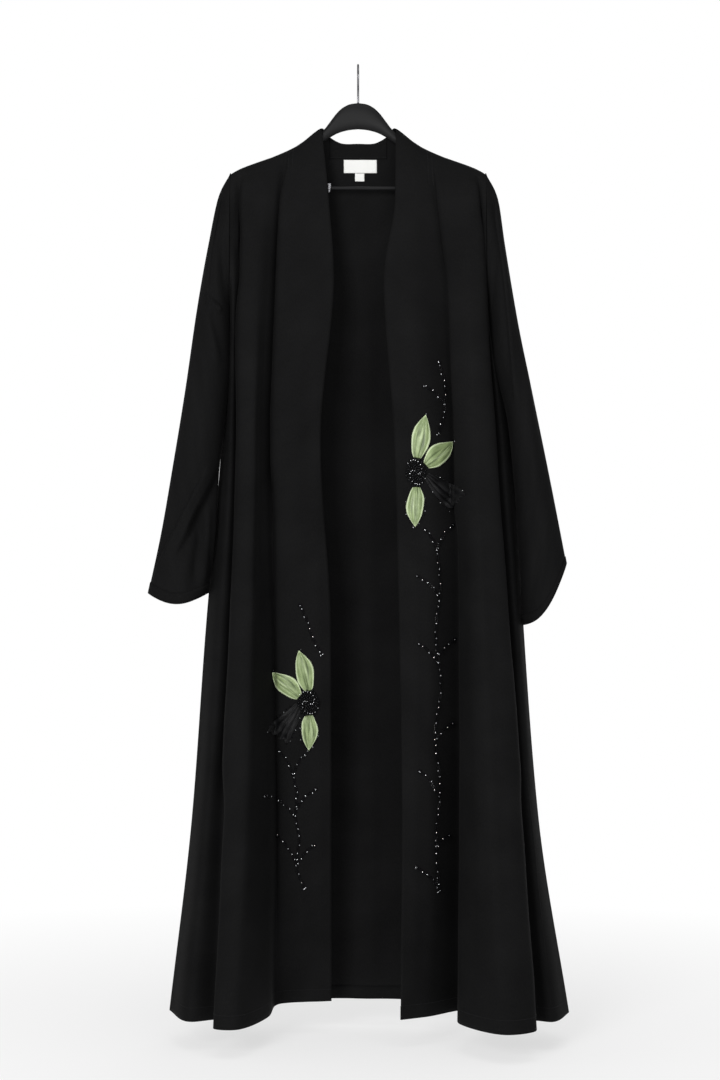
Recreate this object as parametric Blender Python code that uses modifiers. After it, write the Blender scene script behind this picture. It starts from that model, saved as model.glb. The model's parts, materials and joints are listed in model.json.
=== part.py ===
"""An open-front abaya cloak with sewn-on flowers, hanging from a clothes hanger.

The origin is the inner top of the hanger's hook. +Z is up, the cloak's front faces -Y, and
"left" is the -X side, as someone who faces the cloak sees it. Tables are in millimetres.
"""

from collections import namedtuple
from math import cos, pi, radians, sin, sqrt

import bmesh
import bpy
from mathutils import Vector

MM = 0.001

# Driving sizes, in millimetres.
CLOTH_WALL = 1.6
SEAM_GAP = 0.4
SHOULDER_HALF = 204
NECK_HALF = 58
HEM_Z = -1510
UNDERARM_Z = -403
ARMHOLE_BULGE = 34
OVER_ARM_DROP = 9
OVER_ARM_DEPTH = 12
NECK_STAND_OFF = 14
FACING_HALF = 46
FACING_SEAM_Z = -146
FACING_WALL = 1.0
LABEL_WALL = 0.9
PETAL_WALL = 1.8
PATCH_REACH = 5
HOOK_INNER_RADIUS = 18
HOOK_WIRE_RADIUS = 1.7
BAR_RADIUS = 3.0
BAR_Z = -195
BAR_HALF_LENGTH = 158
CLIP_X = -47
CLIP_WALL = 1.6

# The wire below the hook's crook: distance forward, distance under the crook.
HOOK_NECK = ((0, 11), (1.5, 6.5), (5.5, 1))
# The bar's upturned end: distance in from the tip, height.
BAR_CORNER = ((0, -186.2), (1.5, -192), (6, BAR_Z))
# The clip: height over the bar's middle, half the clip's width.
CLIP_WIDTHS = ((7, 4.0), (0, 3.6), (-7, 2.2))

# Heights at which the fold tables give each fold's place.
LEVELS = {"bust": -215, "chest": -340, "waist": -600, "hip": -900, "low": -1200, "hem": HEM_Z}

# The rows of facets below the shoulder, from the bust to just above the hem.
ROW_HEIGHTS = (-202, -250, -300, -352, UNDERARM_Z, -470, -545, -630, -730, -840)
ROW_HEIGHTS += (-950, -1065, -1180, -1295, -1410)

# Top line of the cloth: distance from the middle, height.
SHOULDER_LINE = ((NECK_HALF, -100), (84, -119), (112, -137), (150, -151), (190, -166), (216, -182))
BACK_NECK_LINE = ((0, -122), (28, -121), (40, -116.5), (49, -108.5), (NECK_HALF, -100))

FOLD_COLUMNS = "name top_x bust_x chest_x waist_x hip_x low_x hem_x"
FOLD_COLUMNS += " bust_y chest_y waist_y hip_y low_y hem_y hem_lift"
Fold = namedtuple("Fold", FOLD_COLUMNS)

FRONT_LEFT = (
    Fold("edge", -58, -47, -39, -60, -44, -43, -43, -20, -31, -36, -24, 6, 38, 8),
    Fold("inner_ridge", -82, -84, -86, -96, -88, -88, -90, -25, -38, -48, -36, -6, 34, 7),
    Fold("inner_edge", -108, -116, -121, -130, -127, -124, -126, -25, -36, -43, -32, -2, 30, 5),
    Fold("tuck_valley", -113, -121, -127, -137, -134, -131, -134, -16, -19, -22, -17, 5, 24, 3),
    Fold("lobe_inside", -126, -135, -143, -153, -150, -145, -144, -22, -31, -42, -52, -58, -66, 0),
    Fold("lobe_crest", -148, -155, -159, -164, -168, -176, -190, -27, -45, -76, -106, -138, -172, 0),
    Fold("lobe_outside", -176, -183, -182, -181, -190, -204, -219, -26, -41, -68, -96, -128, -166, 0),
    Fold("deep_valley", -188, -189, -188, -188, -197, -212, -223, -16, -19, -27, -42, -62, -86, 0),
    Fold("side_crest", -197, -198, -198, -201, -217, -237, -263, -23, -31, -38, -54, -76, -103, 0),
    Fold("side", -204, -204, -204, -217, -243, -265, -301, 0, 0, 0, 2, 2, 0, 0),
)
FRONT_RIGHT = (
    Fold("edge", 60, 59, 41, 57, 65, 69, 66, -20, -32, -44, -58, -72, -86, 0),
    Fold("inner_ridge", 85, 90, 88, 104, 110, 113, 108, -25, -40, -54, -60, -64, -60, 0),
    Fold("tuck_valley", 113, 128, 141, 154, 162, 164, 164, -20, -24, -26, -22, -14, -4, 0),
    Fold("lobe_inside", 124, 136, 149, 159, 162, 161, 159, -25, -37, -56, -78, -100, -121, 0),
    Fold("lobe_crest", 150, 161, 172, 184, 194, 204, 224, -28, -48, -84, -124, -168, -213, 0),
    Fold("lobe_outside", 178, 189, 193, 209, 228, 246, 269, -26, -42, -72, -108, -148, -187, 0),
    Fold("deep_valley", 190, 194, 198, 213, 234, 254, 277, -17, -21, -33, -50, -70, -94, 0),
    Fold("side_crest", 198, 199, 202, 228, 249, 269, 303, -24, -32, -40, -58, -80, -105, 0),
    Fold("side", 204, 204, 204, 247, 264, 287, 335, 0, 0, 0, 0, -8, -20, 0),
)
BACK = (
    Fold("side_left", -204, -204, -204, -217, -243, -265, -301, 0, 0, 0, 2, 2, 0, 0),
    Fold("side_crest_left", -192, -193, -194, -200, -216, -236, -262, 24, 33, 38, 50, 62, 76, 0),
    Fold("side_valley_left", -170, -172, -176, -181, -192, -205, -220, 20, 26, 32, 38, 46, 54, 0),
    Fold("lobe_left", -138, -141, -146, -151, -158, -167, -176, 26, 40, 60, 80, 100, 120, 0),
    Fold("valley_left", -96, -99, -104, -108, -110, -112, -118, 22, 34, 48, 60, 70, 78, 0),
    Fold("neck_left", -NECK_HALF, -64, -74, -80, -82, -84, -88, 24, 37, 54, 70, 83, 94, 0),
    Fold("collar_left", -49, -51, -55, -60, -61, -62, -65, 24, 40, 59, 77, 92, 105, 0),
    Fold("centre_crest_left", -28, -29, -31, -33, -34, -34, -36, 24, 41, 61, 79, 94, 108, 0),
    Fold("centre", 0, 0, 1, 2, 3, 4, 5, 24, 39, 58, 76, 91, 105, 0),
    Fold("centre_crest_right", 28, 29, 32, 35, 37, 39, 41, 24, 41, 60, 77, 91, 103, 0),
    Fold("collar_right", 49, 51, 56, 61, 64, 67, 71, 24, 39, 57, 74, 87, 98, 0),
    Fold("neck_right", NECK_HALF, 64, 76, 84, 90, 95, 102, 24, 37, 52, 66, 77, 87, 0),
    Fold("valley_right", 96, 99, 106, 114, 120, 127, 136, 22, 33, 46, 56, 64, 70, 0),
    Fold("lobe_right", 138, 141, 148, 158, 170, 184, 202, 26, 40, 60, 80, 100, 118, 0),
    Fold("side_valley_right", 170, 172, 178, 196, 210, 226, 250, 20, 26, 32, 38, 44, 50, 0),
    Fold("side_crest_right", 192, 193, 197, 222, 239, 259, 296, 24, 33, 38, 44, 52, 62, 0),
    Fold("side_right", 204, 204, 204, 247, 264, 287, 335, 0, 0, 0, 0, -8, -20, 0),
)

SIDE_SEAMS = ("side", "side_left", "side_right")

# Each ring of a sleeve runs from its outer point to its inner point and bulges to front and back.
# lip is how far its middle hangs below the straight line between them, shift how far forward it is.
Ring = namedtuple("Ring", "name outer_x outer_z inner_x inner_z front back lip shift")
SLEEVE_LEFT = (
    Ring("armhole", -206.2, -171, -207.4, UNDERARM_Z, 34, 34, 0, 0),
    Ring("cap", -223, -207, -210, -408, 38, 40, 0, 2),
    Ring("upper", -240, -290, -210.5, -428, 42, 44, 0, 12),
    Ring("above_elbow", -257, -390, -212, -480, 42, 48, 0, 20),
    Ring("elbow", -274, -510, -217, -565, 42, 50, 2, 26),
    Ring("forearm", -294, -635, -224, -655, 42, 52, 5, 30),
    Ring("above_cuff", -314, -750, -230, -755, 42, 56, 10, 30),
    Ring("cuff", -334, -842, -238.5, -842, 44, 58, 17, 27),
)
SLEEVE_RIGHT = (
    Ring("armhole", 206.2, -171, 207.6, UNDERARM_Z, 34, 34, 0, 0),
    Ring("cap", 223, -210, 211.5, -408, 38, 40, 0, 4),
    Ring("upper", 235, -290, 214, -425, 40, 44, 0, 14),
    Ring("above_elbow", 254, -410, 225, -480, 42, 46, 0, 29),
    Ring("elbow", 275, -515, 241, -568, 42, 48, 2, 36),
    Ring("forearm", 296, -618, 248.5, -655, 42, 50, 6, 38),
    Ring("above_cuff", 315, -713, 256, -765, 42, 52, 14, 36),
    Ring("cuff", 331, -794, 266, -893, 42, 54, 24, 32),
)

# The left sleeve's underarm side has swung forward and tucks back along this slanting line.
SLANT_FOLD_LEFT = {"from": (-221, -650), "to": (-292, -792), "depth": 20, "width": 12}

Petal = namedtuple("Petal", "name base_x base_z turn length width cup finish")
Flower = namedtuple("Flower", "side centre_x centre_z bead_width bead_height petals")
FLOWERS = (
    Flower("left", -79, -1016, 34, 40, (
        Petal("upper", -1, 23, 12, 61, 30, 5, "green_satin"),
        Petal("side", -18, 12, 47, 53, 31, 5, "green_satin"),
        Petal("lower", 1, -24, 179, 53, 27, 5, "green_satin"),
        Petal("dark", -19, -10, 135, 56, 36, 5, "black_organza"),
    )),
    Flower("right", 91, -651, 34, 48, (
        Petal("upper", 3, 27, -10, 65, 30, 5, "green_satin"),
        Petal("side", 20, 14, -48, 53, 33, 5, "green_satin"),
        Petal("lower", 1, -28, 177, 58, 29, 5, "green_satin"),
        Petal("dark", 21, -8, -132, 59, 35, 5, "black_organza"),
    )),
)

# The hanger: distance from the middle, top and bottom heights, half the thickness.
HangerSection = namedtuple("HangerSection", "x top bottom half_thickness")
HANGER = (
    HangerSection(0, -59, -101, 8),
    HangerSection(12, -60.5, -102, 8),
    HangerSection(24, -66, -104.5, 8),
    HangerSection(34, -75, -108, 8),
    HangerSection(44, -88, -113.5, 8),
    HangerSection(54, -101, -120.5, 8),
    HangerSection(72, -115.5, -134, 8),
    HangerSection(112, -141.5, -162, 8),
    HangerSection(152, -156.5, -180, 9),
    HangerSection(186, -170.5, -195, 10),
    HangerSection(199, -182, -193, 7),
)

FINISHES = {
    "black_crepe": ((0.012, 0.012, 0.013), 0.85, 0.0),
    "black_organza": ((0.015, 0.015, 0.017), 0.6, 0.0),
    "green_satin": ((0.30, 0.36, 0.20), 0.4, 0.0),
    "black_beads": ((0.02, 0.02, 0.022), 0.15, 0.0),
    "label_tape": ((0.8, 0.8, 0.78), 0.7, 0.0),
    "hanger_plastic": ((0.035, 0.035, 0.037), 0.5, 0.0),
    "hook_steel": ((0.3, 0.3, 0.31), 0.3, 1.0),
}


def clear_scene():
    for obj in list(bpy.data.objects):
        bpy.data.objects.remove(obj, do_unlink=True)


def new_collection(name):
    collection = bpy.data.collections.new(name)
    bpy.context.scene.collection.children.link(collection)
    return collection


def new_material(name):
    colour, roughness, metallic = FINISHES[name]
    material = bpy.data.materials.new(name)
    material.use_nodes = True
    shader = material.node_tree.nodes["Principled BSDF"]
    shader.inputs["Base Color"].default_value = (*colour, 1.0)
    shader.inputs["Roughness"].default_value = roughness
    shader.inputs["Metallic"].default_value = metallic
    return material


def smooth_value(knots, at):
    """The value at `at` of a smooth curve through (place, value) knots, with no overshoot."""
    knots = sorted(knots)
    if at <= knots[0][0]:
        return knots[0][1]
    if at >= knots[-1][0]:
        return knots[-1][1]
    slopes = [(b[1] - a[1]) / (b[0] - a[0]) for a, b in zip(knots, knots[1:])]
    tangents = [slopes[0]]
    for before, after in zip(slopes, slopes[1:]):
        same_way = before * after > 0
        tangents.append(2 * before * after / (before + after) if same_way else 0.0)
    tangents.append(slopes[-1])
    for i, (a, b) in enumerate(zip(knots, knots[1:])):
        if at <= b[0]:
            span = b[0] - a[0]
            t = (at - a[0]) / span
            return (
                (2 * t**3 - 3 * t**2 + 1) * a[1]
                + (t**3 - 2 * t**2 + t) * span * tangents[i]
                + (3 * t**2 - 2 * t**3) * b[1]
                + (t**3 - t**2) * span * tangents[i + 1]
            )


def smooth_step(t):
    t = min(1.0, max(0.0, t))
    return t * t * (3 - 2 * t)


def spline_through(points, pieces):
    """Points on a centripetal Catmull-Rom curve: each span between two points in `pieces` steps."""
    ends = [2 * points[0] - points[1], *points, 2 * points[-1] - points[-2]]
    curve = []
    for p0, p1, p2, p3 in zip(ends, ends[1:], ends[2:], ends[3:]):
        t1 = max((p1 - p0).length ** 0.5, 1e-4)
        t2 = t1 + max((p2 - p1).length ** 0.5, 1e-4)
        t3 = t2 + max((p3 - p2).length ** 0.5, 1e-4)
        for step in range(pieces):
            t = t1 + (t2 - t1) * step / pieces
            a1 = p0.lerp(p1, t / t1)
            a2 = p1.lerp(p2, (t - t1) / (t2 - t1))
            a3 = p2.lerp(p3, (t - t2) / (t3 - t2))
            b1 = a1.lerp(a2, t / t2)
            b2 = a2.lerp(a3, (t - t1) / (t3 - t1))
            curve.append(b1.lerp(b2, (t - t1) / (t2 - t1)))
    curve.append(points[-1].copy())
    return curve


def top_line_z(x, back):
    """Height of the shoulder seam, or of the back neck, at this distance from the middle."""
    if back and abs(x) < NECK_HALF:
        return smooth_value(BACK_NECK_LINE, abs(x))
    return smooth_value(SHOULDER_LINE, abs(x))


def armhole_depth(z):
    """How far the armhole's rim stands off the side line, front or back, at this height."""
    top = top_line_z(SHOULDER_HALF, back=False)
    middle = (top + UNDERARM_Z) / 2
    along = (z - middle) / (top - middle)
    return ARMHOLE_BULGE * sqrt(max(0.0, 1 - along * along))


def fold_point(fold, z, back):
    """The point on a fold line at this height."""
    way = 1 if back else -1
    top = top_line_z(fold.top_x, back)
    xs = [(top, fold.top_x)]
    ys = [(top, way * SEAM_GAP / 2), (top - OVER_ARM_DROP, way * OVER_ARM_DEPTH)]
    if abs(fold.top_x) < NECK_HALF:
        ys = [(top, way * NECK_STAND_OFF)]
    for name, level in LEVELS.items():
        xs.append((level, getattr(fold, name + "_x")))
        ys.append((level, getattr(fold, name + "_y")))
    if fold.name in SIDE_SEAMS:
        xs = [(top, fold.top_x), (UNDERARM_Z, fold.chest_x)] + [k for k in xs if k[0] < UNDERARM_Z]
        ys = [(UNDERARM_Z, 0.0)] + [k for k in ys if k[0] < UNDERARM_Z]
        rim = way * (armhole_depth(z) + SEAM_GAP / 2)
        return Vector((smooth_value(xs, z), smooth_value(ys, z) + rim, z))
    return Vector((smooth_value(xs, z), smooth_value(ys, z), z))


def fold_heights(fold, back):
    """Heights of the rows on this fold line, from the top line down to its hem."""
    top = top_line_z(fold.top_x, back)
    over = top - OVER_ARM_DROP
    return [top, over, (over + ROW_HEIGHTS[0]) / 2, *ROW_HEIGHTS, HEM_Z + fold.hem_lift]


def panel_rows(folds, pieces, back=False):
    """Rows of points from the top line to the hem, each row along a smooth curve through the folds."""
    columns = [[fold_point(fold, z, back) for z in fold_heights(fold, back)] for fold in folds]
    rows = [spline_through(list(row), pieces) for row in zip(*columns)]
    way = 1 if back else -1
    for point in (point for row in rows for point in row if point.z > UNDERARM_Z):
        point.y = way * max(way * point.y, SEAM_GAP / 2)
    return rows


def panel_surface(folds, back=False, pieces=6):
    """A function that gives the depth of the panel's inner face at x, z."""

    def depth(x, z):
        points = spline_through([fold_point(fold, z, back) for fold in folds], pieces)
        spans = [(a, b) for a, b in zip(points, points[1:]) if min(a.x, b.x) <= x <= max(a.x, b.x)]
        a, b = spans[0] if spans else (points[0], points[1])
        t = (x - a.x) / (b.x - a.x)
        return a.y + t * (b.y - a.y)

    return depth


def loft(name, rows, finish, wall, ring=False, flip=False):
    """A wall with the given rows of points, in millimetres, as its inner face."""
    width = len(rows[0])
    bm = bmesh.new()
    grid = [[bm.verts.new(point * MM) for point in row] for row in rows]
    for upper, lower in zip(grid, grid[1:]):
        for i in range(width if ring else width - 1):
            j = (i + 1) % width
            corners = (upper[i], lower[i], lower[j], upper[j])
            bm.faces.new(reversed(corners) if flip else corners)
    mesh = bpy.data.meshes.new(name)
    bm.to_mesh(mesh)
    bm.free()
    mesh.shade_smooth()
    mesh.materials.append(materials[finish])
    obj = bpy.data.objects.new(name, mesh)
    cloak.objects.link(obj)
    solidify = obj.modifiers.new("wall", "SOLIDIFY")
    solidify.thickness = wall * MM
    solidify.offset = 1.0
    return obj


def make_body():
    """Two fronts, and a back that meets them at the shoulder and side seams."""
    loft("front_left", panel_rows(FRONT_LEFT, 2), "black_crepe", CLOTH_WALL, flip=True)
    loft("front_right", panel_rows(FRONT_RIGHT, 2), "black_crepe", CLOTH_WALL)
    loft("back", panel_rows(BACK, 2, back=True), "black_crepe", CLOTH_WALL, flip=True)


def ring_at(rings, along):
    """A ring part way down a sleeve: along counts from the armhole, one for each table row."""
    values = []
    for column in range(1, len(Ring._fields)):
        knots = [(i, ring[column]) for i, ring in enumerate(rings)]
        values.append(smooth_value(knots, along))
    return Ring("between", *values)


def slant_fold_depth(x, z):
    """How far the left sleeve's front is set back, on the body's side of its slanting fold."""
    start, end = Vector(SLANT_FOLD_LEFT["from"]), Vector(SLANT_FOLD_LEFT["to"])
    line = end - start
    across = Vector((-line.y, line.x)).normalized()
    off = Vector((x, z)) - start
    along = off.dot(line) / line.length_squared
    beyond = off.dot(across)
    if across.x < 0:
        beyond = -beyond
    fade = smooth_step((along + 0.25) / 0.3) * smooth_step((1.1 - along) / 0.6)
    return SLANT_FOLD_LEFT["depth"] * fade * smooth_step(beyond / SLANT_FOLD_LEFT["width"] + 0.5)


def sleeve_rows(rings, points_round, rows_per_ring, slant=False):
    rows = []
    for step in range((len(rings) - 1) * rows_per_ring + 1):
        ring = ring_at(rings, step / rows_per_ring)
        outer = Vector((ring.outer_x, 0, ring.outer_z))
        inner = Vector((ring.inner_x, 0, ring.inner_z))
        row = []
        for k in range(points_round):
            turn = 2 * pi * k / points_round
            along = (1 - cos(turn)) / 2
            point = outer.lerp(inner, along)
            point.z -= ring.lip * sin(pi * along)
            front = sin(turn) > 0
            bulge = (ring.front if front else ring.back) * sin(turn)
            if slant and front:
                bulge -= min(slant_fold_depth(point.x, point.z), 0.6 * bulge)
            point.y = -bulge - ring.shift
            row.append(point)
        rows.append(row)
    return rows


def make_sleeves():
    left = sleeve_rows(SLEEVE_LEFT, 20, 2, slant=True)
    loft("sleeve_left", left, "black_crepe", CLOTH_WALL, ring=True)
    right = sleeve_rows(SLEEVE_RIGHT, 20, 2)
    loft("sleeve_right", right, "black_crepe", CLOTH_WALL, ring=True, flip=True)


def make_neck_pieces():
    """The facing round the inside of the back neck, and the bare woven labels under it."""
    depth = panel_surface(BACK, back=True)
    inset = 0.3 + FACING_WALL
    rows = []
    for step in range(4):
        row = []
        for column in range(-6, 7):
            x = FACING_HALF * column / 6
            high = top_line_z(x, back=True) - 1
            z = high + (FACING_SEAM_Z - high) * step / 3
            row.append(Vector((x, depth(x, z) - inset, z)))
        rows.append(row)
    loft("neck_facing", rows, "black_crepe", FACING_WALL, flip=True)
    labels = (("neck_label", -23, 30, -147.5, -168.5), ("size_tab", -5, 10, -169.2, -182))
    for name, x_low, x_high, z_high, z_low in labels:
        rows = []
        for z in (z_high, (z_high + z_low) / 2, z_low):
            xs = [x_low + (x_high - x_low) * i / 4 for i in range(5)]
            rows.append([Vector((x, depth(x, z) - 0.3 - LABEL_WALL, z)) for x in xs])
        loft(name, rows, "label_tape", LABEL_WALL, flip=True)


def patch_rows(depth, centre, turn, length, half_width, lift, steps):
    """A leaf or disc on a panel: it runs `length` from centre, turned from upright towards -X.

    It rests on the panel's highest ground within PATCH_REACH, so that it bridges the valleys.
    """
    along_axis = Vector((-sin(turn), cos(turn)))
    across_axis = Vector((cos(turn), sin(turn)))
    rows = []
    for i in range(steps + 1):
        s = i / steps
        row = []
        for t in (-1, -0.5, 0, 0.5, 1):
            flat = centre + along_axis * length * s + across_axis * half_width(s) * t
            ground = min(depth(flat.x + reach, flat.y) for reach in (-PATCH_REACH, 0, PATCH_REACH))
            row.append(Vector((flat.x, ground - CLOTH_WALL - 0.5 - lift(s, t), flat.y)))
        rows.append(row)
    return rows


def make_flower(flower, folds):
    depth = panel_surface(folds)
    middle = Vector((flower.centre_x, flower.centre_z))
    for petal in flower.petals:
        base = middle + Vector((petal.base_x, petal.base_z))
        outline = ((0, 0.28), (0.25, 0.8), (0.5, 1), (0.78, 0.72), (1, 0.06))
        rows = patch_rows(
            depth,
            base,
            radians(petal.turn),
            petal.length,
            lambda s: petal.width / 2 * smooth_value(outline, s),
            lambda s, t: petal.cup * (0.3 + 0.7 * s) * (1 - 0.6 * t * t),
            8,
        )
        loft(f"{flower.side}_petal_{petal.name}", rows, petal.finish, PETAL_WALL, flip=True)
    rows = patch_rows(
        depth,
        middle - Vector((0, flower.bead_height / 2)),
        0.0,
        flower.bead_height,
        lambda s: flower.bead_width / 2 * max(0.2, sqrt(max(0.0, 1 - (2 * s - 1) ** 2))),
        lambda s, t: 1 + 3 * (1 - (2 * s - 1) ** 2) * (1 - t * t),
        8,
    )
    loft(f"{flower.side}_flower_centre", rows, "black_beads", PETAL_WALL, flip=True)


def make_hanger_body():
    """A hump over broad arms, of oval section, that follow the shoulder line just under it."""
    half = [section for section in HANGER if section.x > 0]
    mirrored = [section._replace(x=-section.x) for section in reversed(half)]
    bm = bmesh.new()
    points_round = 12
    rings = []
    for section in mirrored + list(HANGER):
        middle = (section.top + section.bottom) / 2
        reach = (section.top - section.bottom) / 2
        ring = []
        for k in range(points_round):
            turn = 2 * pi * k / points_round
            y = section.half_thickness * sin(turn)
            ring.append(bm.verts.new(Vector((section.x, y, middle + reach * cos(turn))) * MM))
        rings.append(ring)
    for before, after in zip(rings, rings[1:]):
        for i in range(points_round):
            j = (i + 1) % points_round
            bm.faces.new((before[i], before[j], after[j], after[i]))
    bm.faces.new(reversed(rings[0]))
    bm.faces.new(rings[-1])
    bmesh.ops.recalc_face_normals(bm, faces=bm.faces)
    mesh = bpy.data.meshes.new("hanger_body")
    bm.to_mesh(mesh)
    bm.free()
    mesh.shade_smooth()
    mesh.materials.append(materials["hanger_plastic"])
    cloak.objects.link(bpy.data.objects.new("hanger_body", mesh))


def make_wire(name, points, radius, finish, fineness=2):
    curve = bpy.data.curves.new(name, "CURVE")
    curve.dimensions = "3D"
    curve.bevel_depth = radius * MM
    curve.bevel_resolution = fineness
    curve.use_fill_caps = True
    spline = curve.splines.new("POLY")
    spline.points.add(len(points) - 1)
    for slot, point in zip(spline.points, points):
        slot.co = (*(point * MM), 1.0)
    curve.materials.append(materials[finish])
    cloak.objects.link(bpy.data.objects.new(name, curve))


def make_hook():
    """A wire crook over the rail: up from the hump, round in front, open at the back."""
    reach = HOOK_INNER_RADIUS + HOOK_WIRE_RADIUS
    centre_z = -HOOK_INNER_RADIUS
    crook_start, crook_end, steps = -48, 232, 26
    points = [Vector((0, 0, HANGER[0].top + SEAM_GAP))]
    points += [Vector((0, -forward, centre_z - reach - under)) for forward, under in HOOK_NECK]
    for step in range(steps + 1):
        turn = radians(crook_start + (crook_end - crook_start) * step / steps)
        points.append(Vector((0, -reach * cos(turn), centre_z + reach * sin(turn))))
    make_wire("hanger_hook", points, HOOK_WIRE_RADIUS, "hook_steel")


def make_bar():
    """The trouser bar under the arms, turned up at both ends to meet them."""
    left = [Vector((inward - BAR_HALF_LENGTH, 0, z)) for inward, z in BAR_CORNER]
    right = [Vector((BAR_HALF_LENGTH - inward, 0, z)) for inward, z in reversed(BAR_CORNER)]
    make_wire("hanger_bar", left + right, BAR_RADIUS, "hanger_plastic")


def make_bar_clip():
    """A small sprung clip that hangs in front of the bar, narrower at its lower end."""
    rows = []
    for above, half_width in CLIP_WIDTHS:
        z = BAR_Z + above
        rows.append([Vector((CLIP_X + half_width * t, -BAR_RADIUS - SEAM_GAP, z)) for t in (-1, 0, 1)])
    loft("bar_clip", rows, "hook_steel", CLIP_WALL)


clear_scene()
cloak = new_collection("abaya_on_hanger")
materials = {name: new_material(name) for name in FINISHES}
make_body()
make_sleeves()
make_neck_pieces()
make_flower(FLOWERS[0], FRONT_LEFT)
make_flower(FLOWERS[1], FRONT_RIGHT)
make_hanger_body()
make_hook()
make_bar()
make_bar_clip()
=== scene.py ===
"""The finished look of an open-front abaya cloak on its clothes hanger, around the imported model.

The origin is the inner top of the hanger's hook. +Z is up and the cloak's front faces -Y.
"left" is the -X side. Tables and forms are in millimetres, and meshes are made in metres.
"""

import json
from collections import namedtuple
from math import cos, pi, radians, sin, sqrt

import bmesh
import bpy
import numpy as np
from mathutils import Vector
from mathutils.bvhtree import BVHTree
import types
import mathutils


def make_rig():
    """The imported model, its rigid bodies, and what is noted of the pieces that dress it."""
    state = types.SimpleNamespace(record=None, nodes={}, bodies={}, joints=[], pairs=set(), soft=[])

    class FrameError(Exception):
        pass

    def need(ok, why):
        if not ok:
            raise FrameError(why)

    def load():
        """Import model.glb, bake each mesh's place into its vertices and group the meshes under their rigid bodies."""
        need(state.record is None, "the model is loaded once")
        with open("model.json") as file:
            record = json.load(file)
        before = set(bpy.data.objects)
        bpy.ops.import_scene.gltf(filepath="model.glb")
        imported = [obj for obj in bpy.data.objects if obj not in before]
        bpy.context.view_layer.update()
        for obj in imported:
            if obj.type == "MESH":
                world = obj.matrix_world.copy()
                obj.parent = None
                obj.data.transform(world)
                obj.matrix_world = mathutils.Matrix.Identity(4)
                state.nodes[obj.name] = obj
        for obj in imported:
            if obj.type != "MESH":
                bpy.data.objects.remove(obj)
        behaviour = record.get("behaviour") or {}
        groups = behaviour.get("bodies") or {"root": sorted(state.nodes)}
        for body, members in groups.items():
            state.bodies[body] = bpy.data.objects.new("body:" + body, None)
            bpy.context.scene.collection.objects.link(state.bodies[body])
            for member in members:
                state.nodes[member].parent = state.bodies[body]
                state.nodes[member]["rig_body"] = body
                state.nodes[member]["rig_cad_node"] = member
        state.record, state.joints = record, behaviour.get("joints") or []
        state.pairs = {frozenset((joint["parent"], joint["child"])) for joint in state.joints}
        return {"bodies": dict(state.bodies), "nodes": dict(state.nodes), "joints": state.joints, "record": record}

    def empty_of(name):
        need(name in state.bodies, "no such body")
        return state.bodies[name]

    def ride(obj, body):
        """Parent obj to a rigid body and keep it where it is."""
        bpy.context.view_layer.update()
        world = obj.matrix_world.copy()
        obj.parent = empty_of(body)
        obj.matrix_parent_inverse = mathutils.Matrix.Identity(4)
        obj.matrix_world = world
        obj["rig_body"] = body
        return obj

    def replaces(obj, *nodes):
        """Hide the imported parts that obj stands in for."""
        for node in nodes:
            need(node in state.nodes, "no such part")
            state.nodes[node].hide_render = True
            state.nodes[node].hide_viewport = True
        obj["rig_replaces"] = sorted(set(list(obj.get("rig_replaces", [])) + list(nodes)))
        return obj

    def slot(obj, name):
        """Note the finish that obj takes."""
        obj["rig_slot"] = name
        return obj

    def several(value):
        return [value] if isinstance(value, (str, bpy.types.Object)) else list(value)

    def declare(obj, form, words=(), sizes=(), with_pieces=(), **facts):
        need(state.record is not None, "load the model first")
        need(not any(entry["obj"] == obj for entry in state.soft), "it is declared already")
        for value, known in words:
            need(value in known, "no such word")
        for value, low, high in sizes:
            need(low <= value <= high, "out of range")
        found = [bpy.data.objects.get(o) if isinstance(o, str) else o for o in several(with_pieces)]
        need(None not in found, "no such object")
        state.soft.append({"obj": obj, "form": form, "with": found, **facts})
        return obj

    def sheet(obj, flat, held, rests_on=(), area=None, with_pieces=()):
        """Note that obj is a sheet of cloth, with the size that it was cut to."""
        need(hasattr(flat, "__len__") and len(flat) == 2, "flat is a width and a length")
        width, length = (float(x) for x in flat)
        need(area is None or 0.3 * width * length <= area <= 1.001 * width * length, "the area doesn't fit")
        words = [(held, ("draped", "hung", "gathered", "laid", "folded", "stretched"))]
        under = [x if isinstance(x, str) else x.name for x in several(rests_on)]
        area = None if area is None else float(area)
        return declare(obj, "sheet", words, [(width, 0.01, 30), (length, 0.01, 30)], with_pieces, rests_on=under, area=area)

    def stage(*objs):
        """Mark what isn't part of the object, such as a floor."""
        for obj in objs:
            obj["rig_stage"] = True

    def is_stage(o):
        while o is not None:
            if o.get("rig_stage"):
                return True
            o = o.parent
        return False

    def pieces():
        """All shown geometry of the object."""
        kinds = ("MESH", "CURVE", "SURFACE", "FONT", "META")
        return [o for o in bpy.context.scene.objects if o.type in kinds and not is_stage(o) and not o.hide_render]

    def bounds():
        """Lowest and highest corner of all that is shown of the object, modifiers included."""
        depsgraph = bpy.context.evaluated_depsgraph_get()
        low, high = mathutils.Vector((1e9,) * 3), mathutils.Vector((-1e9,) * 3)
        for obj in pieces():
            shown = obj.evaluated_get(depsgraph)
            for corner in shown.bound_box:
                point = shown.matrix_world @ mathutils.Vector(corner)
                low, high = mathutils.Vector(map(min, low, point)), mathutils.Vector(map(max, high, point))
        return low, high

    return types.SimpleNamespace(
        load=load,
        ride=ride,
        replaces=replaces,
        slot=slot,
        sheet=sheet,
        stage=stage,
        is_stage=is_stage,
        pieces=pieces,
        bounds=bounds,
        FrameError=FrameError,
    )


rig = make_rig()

MM = 0.001

# Where a look for the cloth starts from, as y, and which way it goes.
IN_FRONT = -600
INSIDE = -60
BACKWARDS = Vector((0, 1, 0))

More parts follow.
